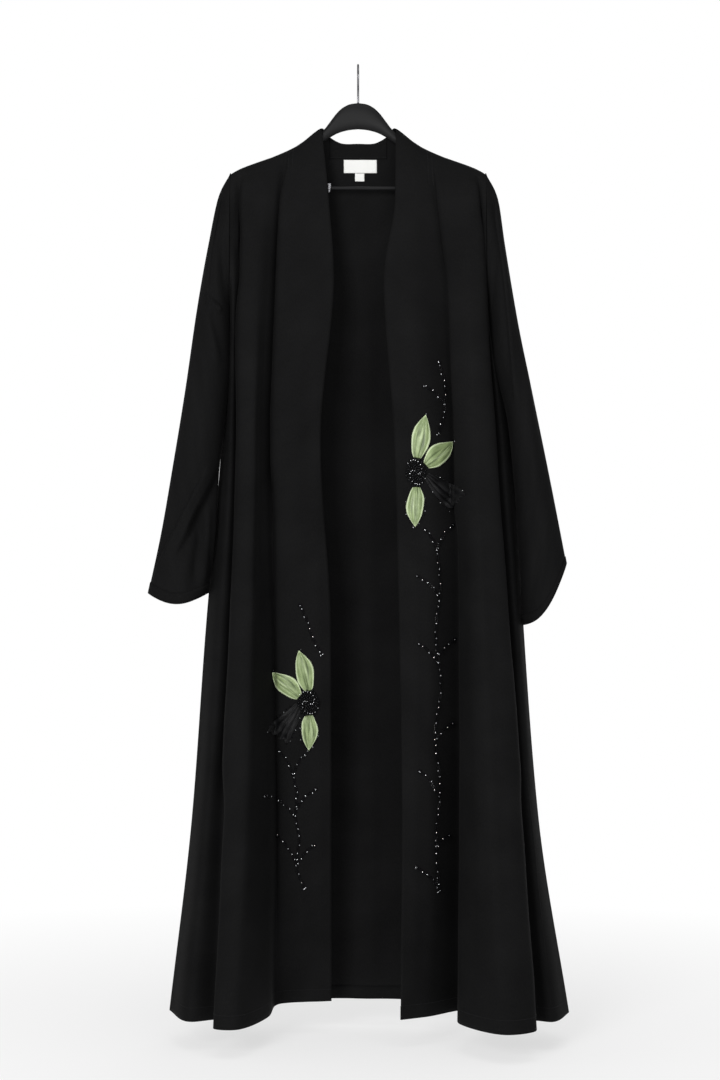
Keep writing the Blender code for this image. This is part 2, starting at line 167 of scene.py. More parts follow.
# The cloak's form, as its solids have it.
SHOULDER_HALF = 204
NECK_HALF = 58
HEM_Z = -1510
UNDERARM_Z = -403
ARMHOLE_BULGE = 34
OVER_ARM_DROP = 9
OVER_ARM_DEPTH = 12
NECK_STAND_OFF = 14
FACING_HALF = 46
FACING_SEAM_Z = -146
HOOK_INNER_RADIUS = 18
HOOK_WIRE_RADIUS = 1.7
BAR_RADIUS = 3.0
BAR_Z = -195
BAR_HALF_LENGTH = 158
CLIP_X = -47

# How the cloth is laid on that form: it starts INSET out from the solid's inner face, except at
# a seam, where it dips to the seam's own line over SEAM_DIP. The gap is below zero, so that the
# two panels of a seam cross a little and no light shows between them. Creases are calm near a
# seam, over PANEL_CALM or SLEEVE_CALM.
CLOTH_WALL = 1.0
INSET = 0.6
SEAM_GAP = -0.4
SEAM_DIP = 7
PANEL_CALM = 30
SLEEVE_CALM = 26
ROW_PITCH = 7.0
LEAST_ROWS = 4
COLUMN_PITCH = 4.6
LEAST_COLUMNS = 5
MOST_COLUMNS = 26
ROWS_PER_RING = 16
SLEEVE_COLUMNS = 112

# The turned hems and cuffs, and the thin walls of the small pieces.
HEM_DEPTH = 26
CUFF_DEPTH = 20
TURN_UP_GAP = 0.25
TURN_UP_WALL = 0.7
SATIN_WALL = 0.7
ORGANZA_WALL = 0.4
PAD_WALL = 0.8
CLIP_WALL = 0.9
TURN_UPS = (("front_left", HEM_DEPTH), ("front_right", HEM_DEPTH), ("back", HEM_DEPTH),
            ("sleeve_left", CUFF_DEPTH), ("sleeve_right", CUFF_DEPTH))

# Heights that the fold tables name, the form's own rows, and the rows' usual heights at the top.
TOP_ROWS = (-150, -159, -180)
LEVELS = {"bust": -215, "chest": -340, "waist": -600, "hip": -900, "low": -1200, "hem": HEM_Z}
ROW_HEIGHTS = (-202, -250, -300, -352, UNDERARM_Z, -470, -545, -630, -730, -840)
ROW_HEIGHTS += (-950, -1065, -1180, -1295, -1410)

# Top line of the cloth: distance from the middle, height.
SHOULDER_LINE = ((NECK_HALF, -100), (84, -119), (112, -137), (150, -151), (190, -166), (216, -182))
BACK_NECK_LINE = ((0, -122), (28, -121), (40, -116.5), (49, -108.5), (NECK_HALF, -100))

FOLD_COLUMNS = "name top_x bust_x chest_x waist_x hip_x low_x hem_x"
FOLD_COLUMNS += " bust_y chest_y waist_y hip_y low_y hem_y hem_lift"
Fold = namedtuple("Fold", FOLD_COLUMNS)

FRONT_LEFT = (
    Fold("edge", -58, -47, -39, -60, -44, -43, -43, -20, -31, -36, -24, 6, 38, 8),
    Fold("inner_ridge", -82, -84, -86, -96, -88, -88, -90, -25, -38, -48, -36, -6, 34, 7),
    Fold("inner_edge", -108, -116, -121, -130, -127, -124, -126, -25, -36, -43, -32, -2, 30, 5),
    Fold("tuck_valley", -113, -121, -127, -137, -134, -131, -134, -16, -19, -22, -17, 5, 24, 3),
    Fold("lobe_inside", -126, -135, -143, -153, -150, -145, -144, -22, -31, -42, -52, -58, -66, 0),
    Fold("lobe_crest", -148, -155, -159, -164, -168, -176, -190, -27, -45, -76, -106, -138, -172, 0),
    Fold("lobe_outside", -176, -183, -182, -181, -190, -204, -219, -26, -41, -68, -96, -128, -166, 0),
    Fold("deep_valley", -188, -189, -188, -188, -197, -212, -223, -16, -19, -27, -42, -62, -86, 0),
    Fold("side_crest", -197, -198, -198, -201, -217, -237, -263, -23, -31, -38, -54, -76, -103, 0),
    Fold("side", -204, -204, -204, -217, -243, -265, -301, 0, 0, 0, 2, 2, 0, 0),
)
FRONT_RIGHT = (
    Fold("edge", 60, 59, 41, 57, 65, 69, 66, -20, -32, -44, -58, -72, -86, 0),
    Fold("inner_ridge", 85, 90, 88, 104, 110, 113, 108, -25, -40, -54, -60, -64, -60, 0),
    Fold("tuck_valley", 113, 128, 141, 154, 162, 164, 164, -20, -24, -26, -22, -14, -4, 0),
    Fold("lobe_inside", 124, 136, 149, 159, 162, 161, 159, -25, -37, -56, -78, -100, -121, 0),
    Fold("lobe_crest", 150, 161, 172, 184, 194, 204, 224, -28, -48, -84, -124, -168, -213, 0),
    Fold("lobe_outside", 178, 189, 193, 209, 228, 246, 269, -26, -42, -72, -108, -148, -187, 0),
    Fold("deep_valley", 190, 194, 198, 213, 234, 254, 277, -17, -21, -33, -50, -70, -94, 0),
    Fold("side_crest", 198, 199, 202, 228, 249, 269, 303, -24, -32, -40, -58, -80, -105, 0),
    Fold("side", 204, 204, 204, 247, 264, 287, 335, 0, 0, 0, 0, -8, -20, 0),
)
BACK = (
    Fold("side_left", -204, -204, -204, -217, -243, -265, -301, 0, 0, 0, 2, 2, 0, 0),
    Fold("side_crest_left", -192, -193, -194, -200, -216, -236, -262, 24, 33, 38, 50, 62, 76, 0),
    Fold("side_valley_left", -170, -172, -176, -181, -192, -205, -220, 20, 26, 32, 38, 46, 54, 0),
    Fold("lobe_left", -138, -141, -146, -151, -158, -167, -176, 26, 40, 60, 80, 100, 120, 0),
    Fold("valley_left", -96, -99, -104, -108, -110, -112, -118, 22, 34, 48, 60, 70, 78, 0),
    Fold("neck_left", -NECK_HALF, -64, -74, -80, -82, -84, -88, 24, 37, 54, 70, 83, 94, 0),
    Fold("collar_left", -49, -51, -55, -60, -61, -62, -65, 24, 40, 59, 77, 92, 105, 0),
    Fold("centre_crest_left", -28, -29, -31, -33, -34, -34, -36, 24, 41, 61, 79, 94, 108, 0),
    Fold("centre", 0, 0, 1, 2, 3, 4, 5, 24, 39, 58, 76, 91, 105, 0),
    Fold("centre_crest_right", 28, 29, 32, 35, 37, 39, 41, 24, 41, 60, 77, 91, 103, 0),
    Fold("collar_right", 49, 51, 56, 61, 64, 67, 71, 24, 39, 57, 74, 87, 98, 0),
    Fold("neck_right", NECK_HALF, 64, 76, 84, 90, 95, 102, 24, 37, 52, 66, 77, 87, 0),
    Fold("valley_right", 96, 99, 106, 114, 120, 127, 136, 22, 33, 46, 56, 64, 70, 0),
    Fold("lobe_right", 138, 141, 148, 158, 170, 184, 202, 26, 40, 60, 80, 100, 118, 0),
    Fold("side_valley_right", 170, 172, 178, 196, 210, 226, 250, 20, 26, 32, 38, 44, 50, 0),
    Fold("side_crest_right", 192, 193, 197, 222, 239, 259, 296, 24, 33, 38, 44, 52, 62, 0),
    Fold("side_right", 204, 204, 204, 247, 264, 287, 335, 0, 0, 0, 0, -8, -20, 0),
)
SIDE_SEAMS = ("side", "side_left", "side_right")

# The visible rings come up to 9 mm closer to the body than the solids do, so the armhole seam
# closes and the sleeves lie against the sides.
Ring = namedtuple("Ring", "name outer_x outer_z inner_x inner_z front back lip shift")
SLEEVE_LEFT = (
    Ring("armhole", -204.5, -171, -204.8, UNDERARM_Z, 34, 34, 0, 0),
    Ring("cap", -223, -207, -203.5, -408, 38, 40, 0, 2),
    Ring("upper", -240, -290, -203.5, -428, 42, 44, 0, 12),
    Ring("above_elbow", -257, -390, -203.5, -480, 42, 48, 0, 20),
    Ring("elbow", -274, -510, -211, -565, 42, 50, 2, 26),
    Ring("forearm", -294, -635, -220.5, -655, 42, 52, 5, 30),
    Ring("above_cuff", -314, -750, -226.5, -755, 42, 56, 10, 30),
    Ring("cuff", -334, -842, -237.5, -842, 44, 58, 17, 27),
)
SLEEVE_RIGHT = (
    Ring("armhole", 204.5, -171, 204.8, UNDERARM_Z, 34, 34, 0, 0),
    Ring("cap", 223, -210, 204.5, -408, 38, 40, 0, 4),
    Ring("upper", 235, -290, 208.5, -425, 40, 44, 0, 14),
    Ring("above_elbow", 254, -410, 216.5, -480, 42, 46, 0, 29),
    Ring("elbow", 275, -515, 236, -568, 42, 48, 2, 36),
    Ring("forearm", 296, -618, 245.5, -655, 42, 50, 6, 38),
    Ring("above_cuff", 315, -713, 253.5, -765, 42, 52, 14, 36),
    Ring("cuff", 331, -794, 261, -893, 42, 54, 24, 32),
)
SLANT_FOLD_LEFT = {"from": (-221, -650), "to": (-292, -792), "depth": 28, "width": 7}

# Creases in the cloth. "trough" and "ridge" are soft. At "left_over" and "right_over" the cloth
# on that side of the line stands proud, and laps over the other side by `lap`.
Crease = namedtuple("Crease", "piece kind width depth lap fade path")
CREASES = (
    Crease("front_left", "trough", 17, 2.6, 0, 160,
           ((-78, -380), (-83, -700), (-80, -1100), (-82, -1560))),
    Crease("front_left", "trough", 7, 1.0, 0, 120,
           ((-157, -215), (-158, -620), (-160, -1150), (-166, -1400))),
    Crease("front_left", "ridge", 9, 1.2, 0, 140,
           ((-62, -420), (-66, -760), (-62, -1180), (-64, -1560))),
    Crease("front_left", "left_over", 3, 4.0, 3.5, 60, ((-191, -222), (-193, -268), (-192, -318))),
    Crease("front_left", "right_over", 3, 4.2, 3.5, 90,
           ((-187, -318), (-187, -600), (-196, -900), (-211, -1190))),
    Crease("front_left", "right_over", 3, 4.2, 3.5, 70,
           ((-112, -150), (-119, -214), (-125, -340), (-133, -560), (-133, -700))),
    Crease("front_left", "trough", 12, 2.4, 0, 120, ((-112, -1130), (-106, -1330), (-100, -1560))),
    Crease("front_left", "ridge", 14, 2.0, 0, 110, ((-172, -560), (-182, -900), (-200, -1330))),
    Crease("front_left", "trough", 3, 0.8, 0, 14, ((-202, -408), (-198, -440), (-194, -476))),
    Crease("front_right", "trough", 15, 2.2, 0, 150,
           ((96, -420), (104, -800), (102, -1200), (96, -1560))),
    Crease("front_right", "ridge", 12, 1.4, 0, 150,
           ((75, -330), (84, -700), (92, -1100), (88, -1500))),
    Crease("front_right", "right_over", 3, 4.2, 3.5, 70,
           ((118, -152), (132, -225), (147, -340), (157, -560), (160, -760))),
    Crease("front_right", "left_over", 3, 3.2, 3.0, 80,
           ((191, -210), (196, -300), (200, -420), (213, -610), (232, -900), (252, -1180))),
    Crease("front_right", "left_over", 3.5, 2.4, 2.0, 90, ((257, -1070), (276, -1260), (300, -1500))),
    Crease("front_right", "trough", 10, 1.6, 0, 120, ((182, -480), (205, -880), (232, -1400))),
    Crease("front_right", "ridge", 8, 1.2, 0, 100, ((172, -600), (180, -980), (190, -1440))),
    Crease("back", "trough", 14, 2.4, 0, 140, ((-44, -250), (-50, -640), (-52, -1050), (-50, -1560))),
    Crease("back", "trough", 12, 2.0, 0, 140, ((17, -330), (20, -700), (24, -1100), (22, -1560))),
    Crease("back", "ridge", 12, 2.2, 0, 120, ((-16, -300), (-15, -720), (-12, -1180), (-14, -1560))),
    Crease("back", "left_over", 3.5, 3.6, 3.0, 80,
           ((-171, -240), (-178, -420), (-184, -640), (-196, -960), (-208, -1240))),
    Crease("back", "right_over", 3.5, 3.6, 3.0, 80,
           ((172, -232), (182, -430), (198, -650), (212, -960), (232, -1250))),
    Crease("back", "right_over", 3, 2.8, 2.4, 90,
           ((-100, -180), (-106, -420), (-110, -700), (-112, -900))),
    Crease("back", "trough", 9, 2.0, 0, 60, ((-190, -340), (-160, -420), (-136, -520))),
    Crease("back", "trough", 9, 2.0, 0, 60, ((190, -330), (164, -420), (140, -530))),
    Crease("sleeve_left_front", "right_over", 3, 4.5, 3.0, 40,
           ((-213, -186), (-222, -246), (-231, -298), (-235, -347), (-236, -384))),
    Crease("sleeve_left_front", "trough", 4, 8.0, 0, 9, ((-243, -371), (-230, -384), (-214, -397))),
    Crease("sleeve_left_front", "trough", 6, 5.5, 0, 40,
           ((-239, -372), (-237, -408), (-228, -446), (-218, -490))),
    Crease("sleeve_left_front", "ridge", 9, 2.4, 0, 50, ((-252, -420), (-256, -520), (-262, -640))),
    Crease("sleeve_left_front", "trough", 12, 5.0, 0, 34, ((-258, -730), (-268, -775), (-276, -830))),
    Crease("sleeve_left_front", "trough", 7, 5.0, 0, 40, ((-238, -690), (-240, -760), (-246, -850))),
    Crease("sleeve_left_front", "ridge", 6, 2.2, 0, 40, ((-247, -700), (-254, -770), (-260, -840))),
    Crease("sleeve_left_front", "left_over", 3, 4.0, 3.4, 30,
           ((-233, -636), (-262, -683), (-291, -740), (-319, -796), (-331, -833))),
    Crease("sleeve_left_back", "trough", 11, 4.0, 0, 50, ((-226, -240), (-238, -360), (-232, -470))),
    Crease("sleeve_left_back", "left_over", 3, 4.0, 3.0, 40, ((-244, -300), (-252, -400), (-254, -520))),
    Crease("sleeve_left_back", "trough", 10, 3.0, 0, 60, ((-262, -560), (-270, -690), (-286, -820))),
    Crease("sleeve_right_front", "left_over", 3, 6.0, 4.0, 40,
           ((213.5, -190), (216, -254), (225, -319), (230, -371), (235, -434), (240, -497), (243, -545))),
    Crease("sleeve_right_front", "trough", 9, 2.6, 0, 70, ((258, -430), (272, -560), (284, -700))),
    Crease("sleeve_right_front", "ridge", 10, 2.4, 0, 70, ((250, -560), (268, -700), (286, -830))),
    Crease("sleeve_right_front", "trough", 8, 3.2, 0, 40, ((300, -690), (296, -760), (284, -850))),
    Crease("sleeve_right_back", "trough", 11, 4.0, 0, 50, ((226, -240), (240, -360), (242, -480))),
    Crease("sleeve_right_back", "right_over", 3, 4.0, 3.0, 40, ((240, -300), (256, -420), (262, -540))),
    Crease("sleeve_right_back", "trough", 10, 3.0, 0, 60, ((272, -580), (286, -700), (300, -800))),
)

# A lapped edge rises LAP_RISE times its depth, over a hollow of LAP_HOLLOW times its depth.
LAP_RISE = 1.15
LAP_HOLLOW = 0.595

# Stitches: pitch along the line; length, width and height of a stitch. A stitch's own sections
# are place along it, radius and height.
Stitching = namedtuple("Stitching", "pitch size")
HEM_STITCHES = Stitching(3.3, (2.6, 2.6, 2.6))
TUCK_STITCHES = Stitching(2.9, (2.4, 3.0, 3.4))
FACING_STITCHES = Stitching(3.2, (2.6, 2.6, 2.6))
LABEL_STITCHES = Stitching(2.3, (1.9, 2.0, 2.4))
HEM_STITCH_INSET = 4
TUCK_LINE_POINTS = 14
STITCH_AROUND = 6
STITCH_SECTIONS = (
    (-0.5, 0.03, -0.16), (-0.3, 0.11, 0.02), (0, 0.13, 0.08), (0.3, 0.11, 0.02), (0.5, 0.03, -0.16)
)

# Short stitched tucks at the shoulders: two lines each, x and z of both ends.
TUCK_LINES = (
    ((-110.4, -137), (-111.4, -163)),
    ((-103.6, -134), (-104.6, -161)),
    ((110.4, -139), (113.0, -192)),
    ((117.0, -142), (120.0, -193)),
)

# A petal leaves the flower's centre at its base, turned from upright towards -X.
Petal = namedtuple("Petal", "name base_x base_z turn length width cup cloth seed")
Flower = namedtuple("Flower", "side panel centre_x centre_z bead_width bead_height petals")
FLOWERS = (
    Flower("left", "front_left", -79, -1016, 35, 44, (
        Petal("upper", -1, 23, 12, 61, 30, 5, "green_satin", 1),
        Petal("side", -18, 12, 47, 53, 31, 5, "green_satin", 2),
        Petal("lower", 1, -24, 179, 53, 27, 5, "green_satin", 3),
        Petal("dark", -17, -8, 146, 57, 37, 5, "black_organza", 4),
    )),
    Flower("right", "front_right", 91, -651, 34, 48, (
        Petal("upper", 3, 27, -10, 65, 30, 5, "green_satin", 5),
        Petal("side", 20, 14, -48, 53, 33, 5, "green_satin", 6),
        Petal("lower", 1, -28, 177, 58, 29, 5, "green_satin", 7),
        Petal("dark", 21, -8, -132, 59, 35, 5, "black_organza", 8),
    )),
)
# Outlines from root to tip: share of the length, share of the half width.
PETAL_OUTLINE = (
    (0, 0.4), (0.12, 0.68), (0.3, 0.93), (0.46, 1), (0.66, 0.86), (0.82, 0.54), (0.93, 0.24), (1, 0.02)
)
FAN_OUTLINE = ((0, 0.34), (0.2, 0.56), (0.5, 0.82), (0.8, 0.98), (0.94, 1), (1, 0.93))
# A satin petal's long creases: place across it, width and depth, where each starts and ends.
PetalCrease = namedtuple("PetalCrease", "place width depth start end")
PETAL_CREASES = (
    PetalCrease(-0.36, 0.07, 1.3, 0.0, 0.62),
    PetalCrease(0.08, 0.06, 1.5, 0.05, 0.78),
    PetalCrease(0.42, 0.08, 1.2, 0.25, 0.95),
    PetalCrease(-0.1, 0.05, 1.0, 0.5, 1.0),
)
ROOT_TUCK = 4.5
BRIDGE_PASSES = 14
PETAL_REST = 0.5
PETAL_LEAST_LIFT = 0.4
PLEAT_HEIGHT = 1.7
EDGE_BEAD_GAP = 1.6
EDGE_BEAD_PLACES = (0.1, 1.0, 9)

# The bead disc: a domed pad, with beads on it and crystals on some of the beads.
DISC_BEADS = 84
DISC_BEAD_SIZE = 3.9
DISC_REST = 0.8
DISC_DOME = 3.2
DISC_BEAD_LIFT = 1.5
DISC_CRYSTAL_LIFT = 1.8
DISC_CRYSTAL_SHARE = 0.55
DISC_PROBES = ((0, 0), (0.7, 0), (-0.7, 0), (0, 0.7), (0, -0.7), (0.5, 0.5), (-0.5, -0.5))

# Beaded sprigs. A stem is a line of (x, z) knots from its top down. A branch leaves the stem at
# height z, reaches out to its side (+1 is +X) and rises to its tip.
Branch = namedtuple("Branch", "z side reach rise")
Sprig = namedtuple("Sprig", "name panel stem branches")
SPRIGS = (
    Sprig("right_stem", "front_right",
          ((124, -774), (129, -830), (122, -905), (130, -985),
           (121, -1068), (129, -1150), (122, -1230), (127, -1312)),
          (Branch(-776, -1, 19, 34), Branch(-774, 1, 26, 40), Branch(-850, -1, 35, 35),
           Branch(-945, 1, 27, 29), Branch(-958, -1, 32, 36), Branch(-1076, 1, 28, 27),
           Branch(-1166, -1, 32, 44), Branch(-1243, 1, 21, 17), Branch(-1310, -1, 36, 37))),
    Sprig("right_crown", "front_right",
          ((127, -476), (138, -520), (136, -556), (126, -590)),
          (Branch(-545, -1, 33, 30),)),
    Sprig("left_stem", "front_left",
          ((-104, -1131), (-98, -1165), (-100, -1200), (-94, -1236), (-99, -1278), (-86, -1316)),
          (Branch(-1133, -1, 22, 38), Branch(-1133, 1, 19, 32), Branch(-1192, 1, 32, 36),
           Branch(-1203, -1, 48, 42), Branch(-1276, -1, 31, 44), Branch(-1281, 1, 29, 34))),
    Sprig("left_crown", "front_left", ((-92, -862), (-79, -892), (-72, -914), (-58, -940)), ()),
)
STEM_POINTS = 60
BRANCH_POINTS = 16
SEED_PITCH = 1.75
SEED_SIZE = 2.6
SEED_STAGGER = 1.7
CRYSTAL_SIZE = 2.6
CRYSTAL_EVERY = 7
TIP_BEADS = 5
TIP_RADIUS = 2.1
BEAD_LIFT = 0.38
BEAD_FLATNESS = 0.86
# Beads over a narrow dip in the cloth stay level with the cloth beside it.
BEAD_BRIDGE = 6
BEAD_BRIDGE_DEPTHS = (2, 9)

# Pieces sewn inside the back: edges, wall, gap to the back, how far the lower corners curl off
# it, and the grid's columns and rows. Without a top height the top follows the back neck.
SewnPiece = namedtuple("SewnPiece", "name left right top bottom finish wall gap curl columns rows")
NECK_FACING = SewnPiece("neck_facing", -FACING_HALF, FACING_HALF, None, FACING_SEAM_Z,
                        "black_crepe", 0.8, 0.3, 0, 60, 14)
NECK_LABEL = SewnPiece("neck_label", -23, 30, -147.5, -168.5, "label_tape", 0.6, 0.35, 0.6, 34, 14)
SIZE_TAB = SewnPiece("size_tab", -5, 10, -168.9, -181.7, "label_tape", 0.5, 0.35, 1.2, 12, 10)

# The hanger: distance from the middle, top and bottom heights, half the thickness.
HangerSection = namedtuple("HangerSection", "x top bottom half_thickness")
HANGER = (
    HangerSection(0, -59, -101, 8),
    HangerSection(12, -60.5, -102, 8),
    HangerSection(24, -66, -104.5, 8),
    HangerSection(34, -75, -108, 8),
    HangerSection(44, -88, -113.5, 8),
    HangerSection(54, -101, -120.5, 8),
    HangerSection(72, -115.5, -134, 8),
    HangerSection(112, -141.5, -162, 8),
    HangerSection(152, -156.5, -180, 9),
    HangerSection(186, -170.5, -195, 10),
    HangerSection(199, -182, -193, 7),
)
HANGER_ROUNDING = 0.82
HANGER_COLUMNS = 121
HANGER_AROUND = 40
HOOK_POINTS = 90
WIRE_SECTIONS = 150
WIRE_TIP_SECTIONS = 5
WIRE_AROUND = 20
CLIP_GRID = (22, 12)
CLIP_GAP = 0.5
HOOK_NECK = ((0, 11), (1.5, 6.5), (5.5, 1))
HOOK_TURN = (-48, 232)
BAR_CORNER = ((0, -186.2), (1.5, -192), (6, BAR_Z))
CLIP_WIDTHS = ((7, 4.0), (0, 3.6), (-7, 2.2))

# The finishes: colours, linear, from dark to light; roughness at either end of the value that
# steers it; the bump's depth, in metres, and strength; and colours laid over the first by masks.
Look = namedtuple("Look", "dark light roughness bump overlays", defaults=(None, ()))
LOOKS = {
    "black_crepe": Look((0.0041, 0.0041, 0.0042), (0.0094, 0.0094, 0.0096), (0.88, 0.74),
                        (0.00022, 0.8)),
    # green_satin: the crease colour is painted shade in creases, gathers and hollows; the rim colour is a painted
    # highlight on the turned edge and a painted glint
    "green_satin": Look((0.165, 0.225, 0.092), (0.32, 0.405, 0.19), (0.46, 0.34), (0.0001, 0.6),
                        (("crease", (0.062, 0.092, 0.030)), ("rim", (0.56, 0.65, 0.41)))),
    # black_organza: the rim colour is a painted highlight on the pleat ridges and crumpled facets
    "black_organza": Look((0.0018, 0.0018, 0.002), (0.0055, 0.0055, 0.006), (0.34, 0.52), (0.00015, 0.7),
                          (("rim", (0.0135, 0.0135, 0.014)),)),
    "label_tape": Look((0.66, 0.66, 0.64), (0.9, 0.9, 0.88), (0.7, 0.5), (0.00018, 0.8)),
    "black_thread": Look((0.006, 0.006, 0.0066), (0.010, 0.010, 0.011), (0.7, 0.5)),
    "pale_thread": Look((0.48, 0.48, 0.468), (0.8, 0.8, 0.78), (0.7, 0.5)),
    "jet_beads": Look((0.0006, 0.0006, 0.0008), (0.003, 0.003, 0.004), (0.21, 0.098)),
    "crystal_beads": Look((0.22, 0.225, 0.235), (0.85, 0.86, 0.88), (0.3, 0.14)),
    "hanger_plastic": Look((0.0065, 0.0065, 0.0068), (0.0145, 0.0145, 0.015), (0.46, 0.62),
                           (0.00008, 0.5)),
    "hook_steel": Look((0.20, 0.20, 0.21), (0.42, 0.42, 0.43), (0.24, 0.42), (0.00004, 0.4)),
}
BEADS_PER_METRE = 330.0
THREAD_TWISTS_PER_METRE = 2400.0

# The stage, in metres, and the share of the white surround's brightness that lights the cloak.
FLOOR_Z = -1.556
FLOOR_RADIUS = 22.0
FLOOR_COLOUR = (0.94, 0.94, 0.94, 1)
SURROUND_LIGHT = 0.36
CAMERA_PLACE = (0.003, -4.2, -0.758)
CAMERA_LENS = 87.5
LIGHTS_AIM = (0, 0, -0.75)
Light = namedtuple("Light", "name place size power")
LIGHTS = (
    Light("key", (-1.7, -4.9, 0.5), 1.6, 165),
    Light("fill", (0.9, -5.2, -0.6), 2.0, 55),
    Light("top", (0.2, -1.2, 2.6), 2.2, 26),
    Light("behind", (0.6, 3.4, 0.8), 2.4, 16),
)

# The flat cut of each sheet, in metres: width, length, area.
CUTS = {
    "front_left": (0.57, 1.42, 0.50),
    "front_right": (0.63, 1.42, 0.54),
    "back": (0.87, 1.42, 0.86),
    "sleeve_left": (0.50, 0.68, 0.15),
    "sleeve_right": (0.50, 0.64, 0.14),
    "neck_facing": (0.094, 0.046, 0.0026),
    "neck_label": (0.053, 0.021, None),
    "size_tab": (0.015, 0.0128, None),
    "green_satin": (0.038, 0.066, 0.0018),
    "black_organza": (0.070, 0.066, 0.0032),
}


# ---------------------------------------------------------------- forms

def smooth_step(t):
    t = np.clip(t, 0.0, 1.0)
    return t * t * (3 - 2 * t)


def bell(value, centre, width):
    return np.exp(-(((value - centre) / width) ** 2))


def smooth_curve(knots, at):
    """Values at `at` of a smooth curve through (place, value) knots, with no overshoot."""
    places, values = np.array(sorted(knots), float).T
    slopes = np.diff(values) / np.diff(places)
    before, after = slopes[:-1], slopes[1:]
    same_way = before * after > 0
    total = np.where(same_way, before + after, 1.0)
    middle = np.where(same_way, 2 * before * after / total, 0.0)
    tangents = np.concatenate([slopes[:1], middle, slopes[-1:]])
    at = np.clip(at, places[0], places[-1])
    i = np.clip(np.searchsorted(places, at, side="right") - 1, 0, len(slopes) - 1)
    span = places[i + 1] - places[i]
    t = (at - places[i]) / span
    return (
        (2 * t**3 - 3 * t**2 + 1) * values[i]
        + (t**3 - 2 * t**2 + t) * span * tangents[i]
        + (3 * t**2 - 2 * t**3) * values[i + 1]
        + (t**3 - t**2) * span * tangents[i + 1]
    )


def top_line_z(x, back):
    """Height of the shoulder seam, or of the back neck, at this distance from the middle."""
    line = BACK_NECK_LINE if back and abs(x) < NECK_HALF else SHOULDER_LINE
    return float(smooth_curve(line, abs(x)))


def armhole_depth(z):
    """How far the armhole's rim stands off the side line, front or back, at this height."""
    top = top_line_z(SHOULDER_HALF, back=False)
    middle = (top + UNDERARM_Z) / 2
    along = (z - middle) / (top - middle)
    return ARMHOLE_BULGE * np.sqrt(np.maximum(0.0, 1 - along * along))


def fold_line(fold, z, back):
    """The points of a fold line at these heights."""
    way = 1 if back else -1
    top = top_line_z(fold.top_x, back)
    xs = [(top, fold.top_x)]
    ys = [(top, way * SEAM_GAP / 2), (top - OVER_ARM_DROP, way * OVER_ARM_DEPTH)]
    if abs(fold.top_x) < NECK_HALF:
        ys = [(top, way * NECK_STAND_OFF)]
    for name, level in LEVELS.items():
        xs.append((level, getattr(fold, name + "_x")))
        ys.append((level, getattr(fold, name + "_y")))
    rim = 0.0
    if fold.name in SIDE_SEAMS:
        xs = [(top, fold.top_x), (UNDERARM_Z, fold.chest_x)] + [k for k in xs if k[0] < UNDERARM_Z]
        ys = [(UNDERARM_Z, 0.0)] + [k for k in ys if k[0] < UNDERARM_Z]
        rim = way * (armhole_depth(z) + SEAM_GAP / 2)
    return np.stack([smooth_curve(xs, z), smooth_curve(ys, z) + rim, z], axis=-1)


def fine_heights(fold, back):
    """Heights of the fine rows on a fold line, evenly spaced between the form's own rows."""
    top = top_line_z(fold.top_x, back)
    over = top - OVER_ARM_DROP
    rows = [top, over, (over + ROW_HEIGHTS[0]) / 2, *ROW_HEIGHTS, HEM_Z + fold.hem_lift]
    usual = [*TOP_ROWS, *ROW_HEIGHTS, HEM_Z]
    heights = []
    for i in range(len(rows) - 1):
        steps = max(LEAST_ROWS, round((usual[i] - usual[i + 1]) / ROW_PITCH))
        heights += [rows[i] + (rows[i + 1] - rows[i]) * k / steps for k in range(steps)]
    return np.array(heights + [rows[-1]])


def spline_across(lines):
    """Columns on centripetal Catmull-Rom curves through the fold lines, closer where they bend."""
    ends = [2 * lines[0] - lines[1], *lines, 2 * lines[-1] - lines[-2]]
    columns = []
    for p0, p1, p2, p3 in zip(ends, ends[1:], ends[2:], ends[3:]):
        legs = (p1 - p0, p2 - p1, p3 - p2)
        gaps = [np.linalg.norm(leg, axis=1, keepdims=True) for leg in legs]
        t1, step2, step3 = (np.maximum(gap**0.5, 1e-4) for gap in gaps)
        t2 = t1 + step2
        t3 = t2 + step3
        pieces = int(np.clip(np.ceil(gaps[1].max() / COLUMN_PITCH), LEAST_COLUMNS, MOST_COLUMNS))
        for step in range(pieces):
            t = t1 + (t2 - t1) * step / pieces
            a1 = p0 + (p1 - p0) * t / t1
            a2 = p1 + (p2 - p1) * (t - t1) / (t2 - t1)
            a3 = p2 + (p3 - p2) * (t - t2) / (t3 - t2)
            b1 = a1 + (a2 - a1) * t / t2
            b2 = a2 + (a3 - a2) * (t - t1) / (t3 - t1)
            columns.append(b1 + (b2 - b1) * (t - t1) / (t2 - t1))
    columns.append(lines[-1])
    return np.stack(columns, axis=1)


def grid_normals(grid, ring=False):
    """Unit normals of a grid of rows and columns, from its own tangents."""
    down = np.gradient(grid, axis=0)
    if ring:
        across = np.roll(grid, -1, axis=1) - np.roll(grid, 1, axis=1)
    else:
        across = np.gradient(grid, axis=1)
    normals = np.cross(across, down)
    return normals / np.maximum(np.linalg.norm(normals, axis=2, keepdims=True), 1e-9)


def lengths_across(grid):
    steps = np.linalg.norm(np.diff(grid, axis=1), axis=2)
    return np.concatenate([np.zeros((len(grid), 1)), np.cumsum(steps, axis=1)], axis=1)


def lengths_down(grid):
    return lengths_across(grid.transpose(1, 0, 2)).T


def lengths_along(points):
    return lengths_across(points[None])[0]


def points_at(at, along, points):
    """The points of a line at these lengths along it."""
    return np.stack([np.interp(at, along, column) for column in points.T], axis=-1)


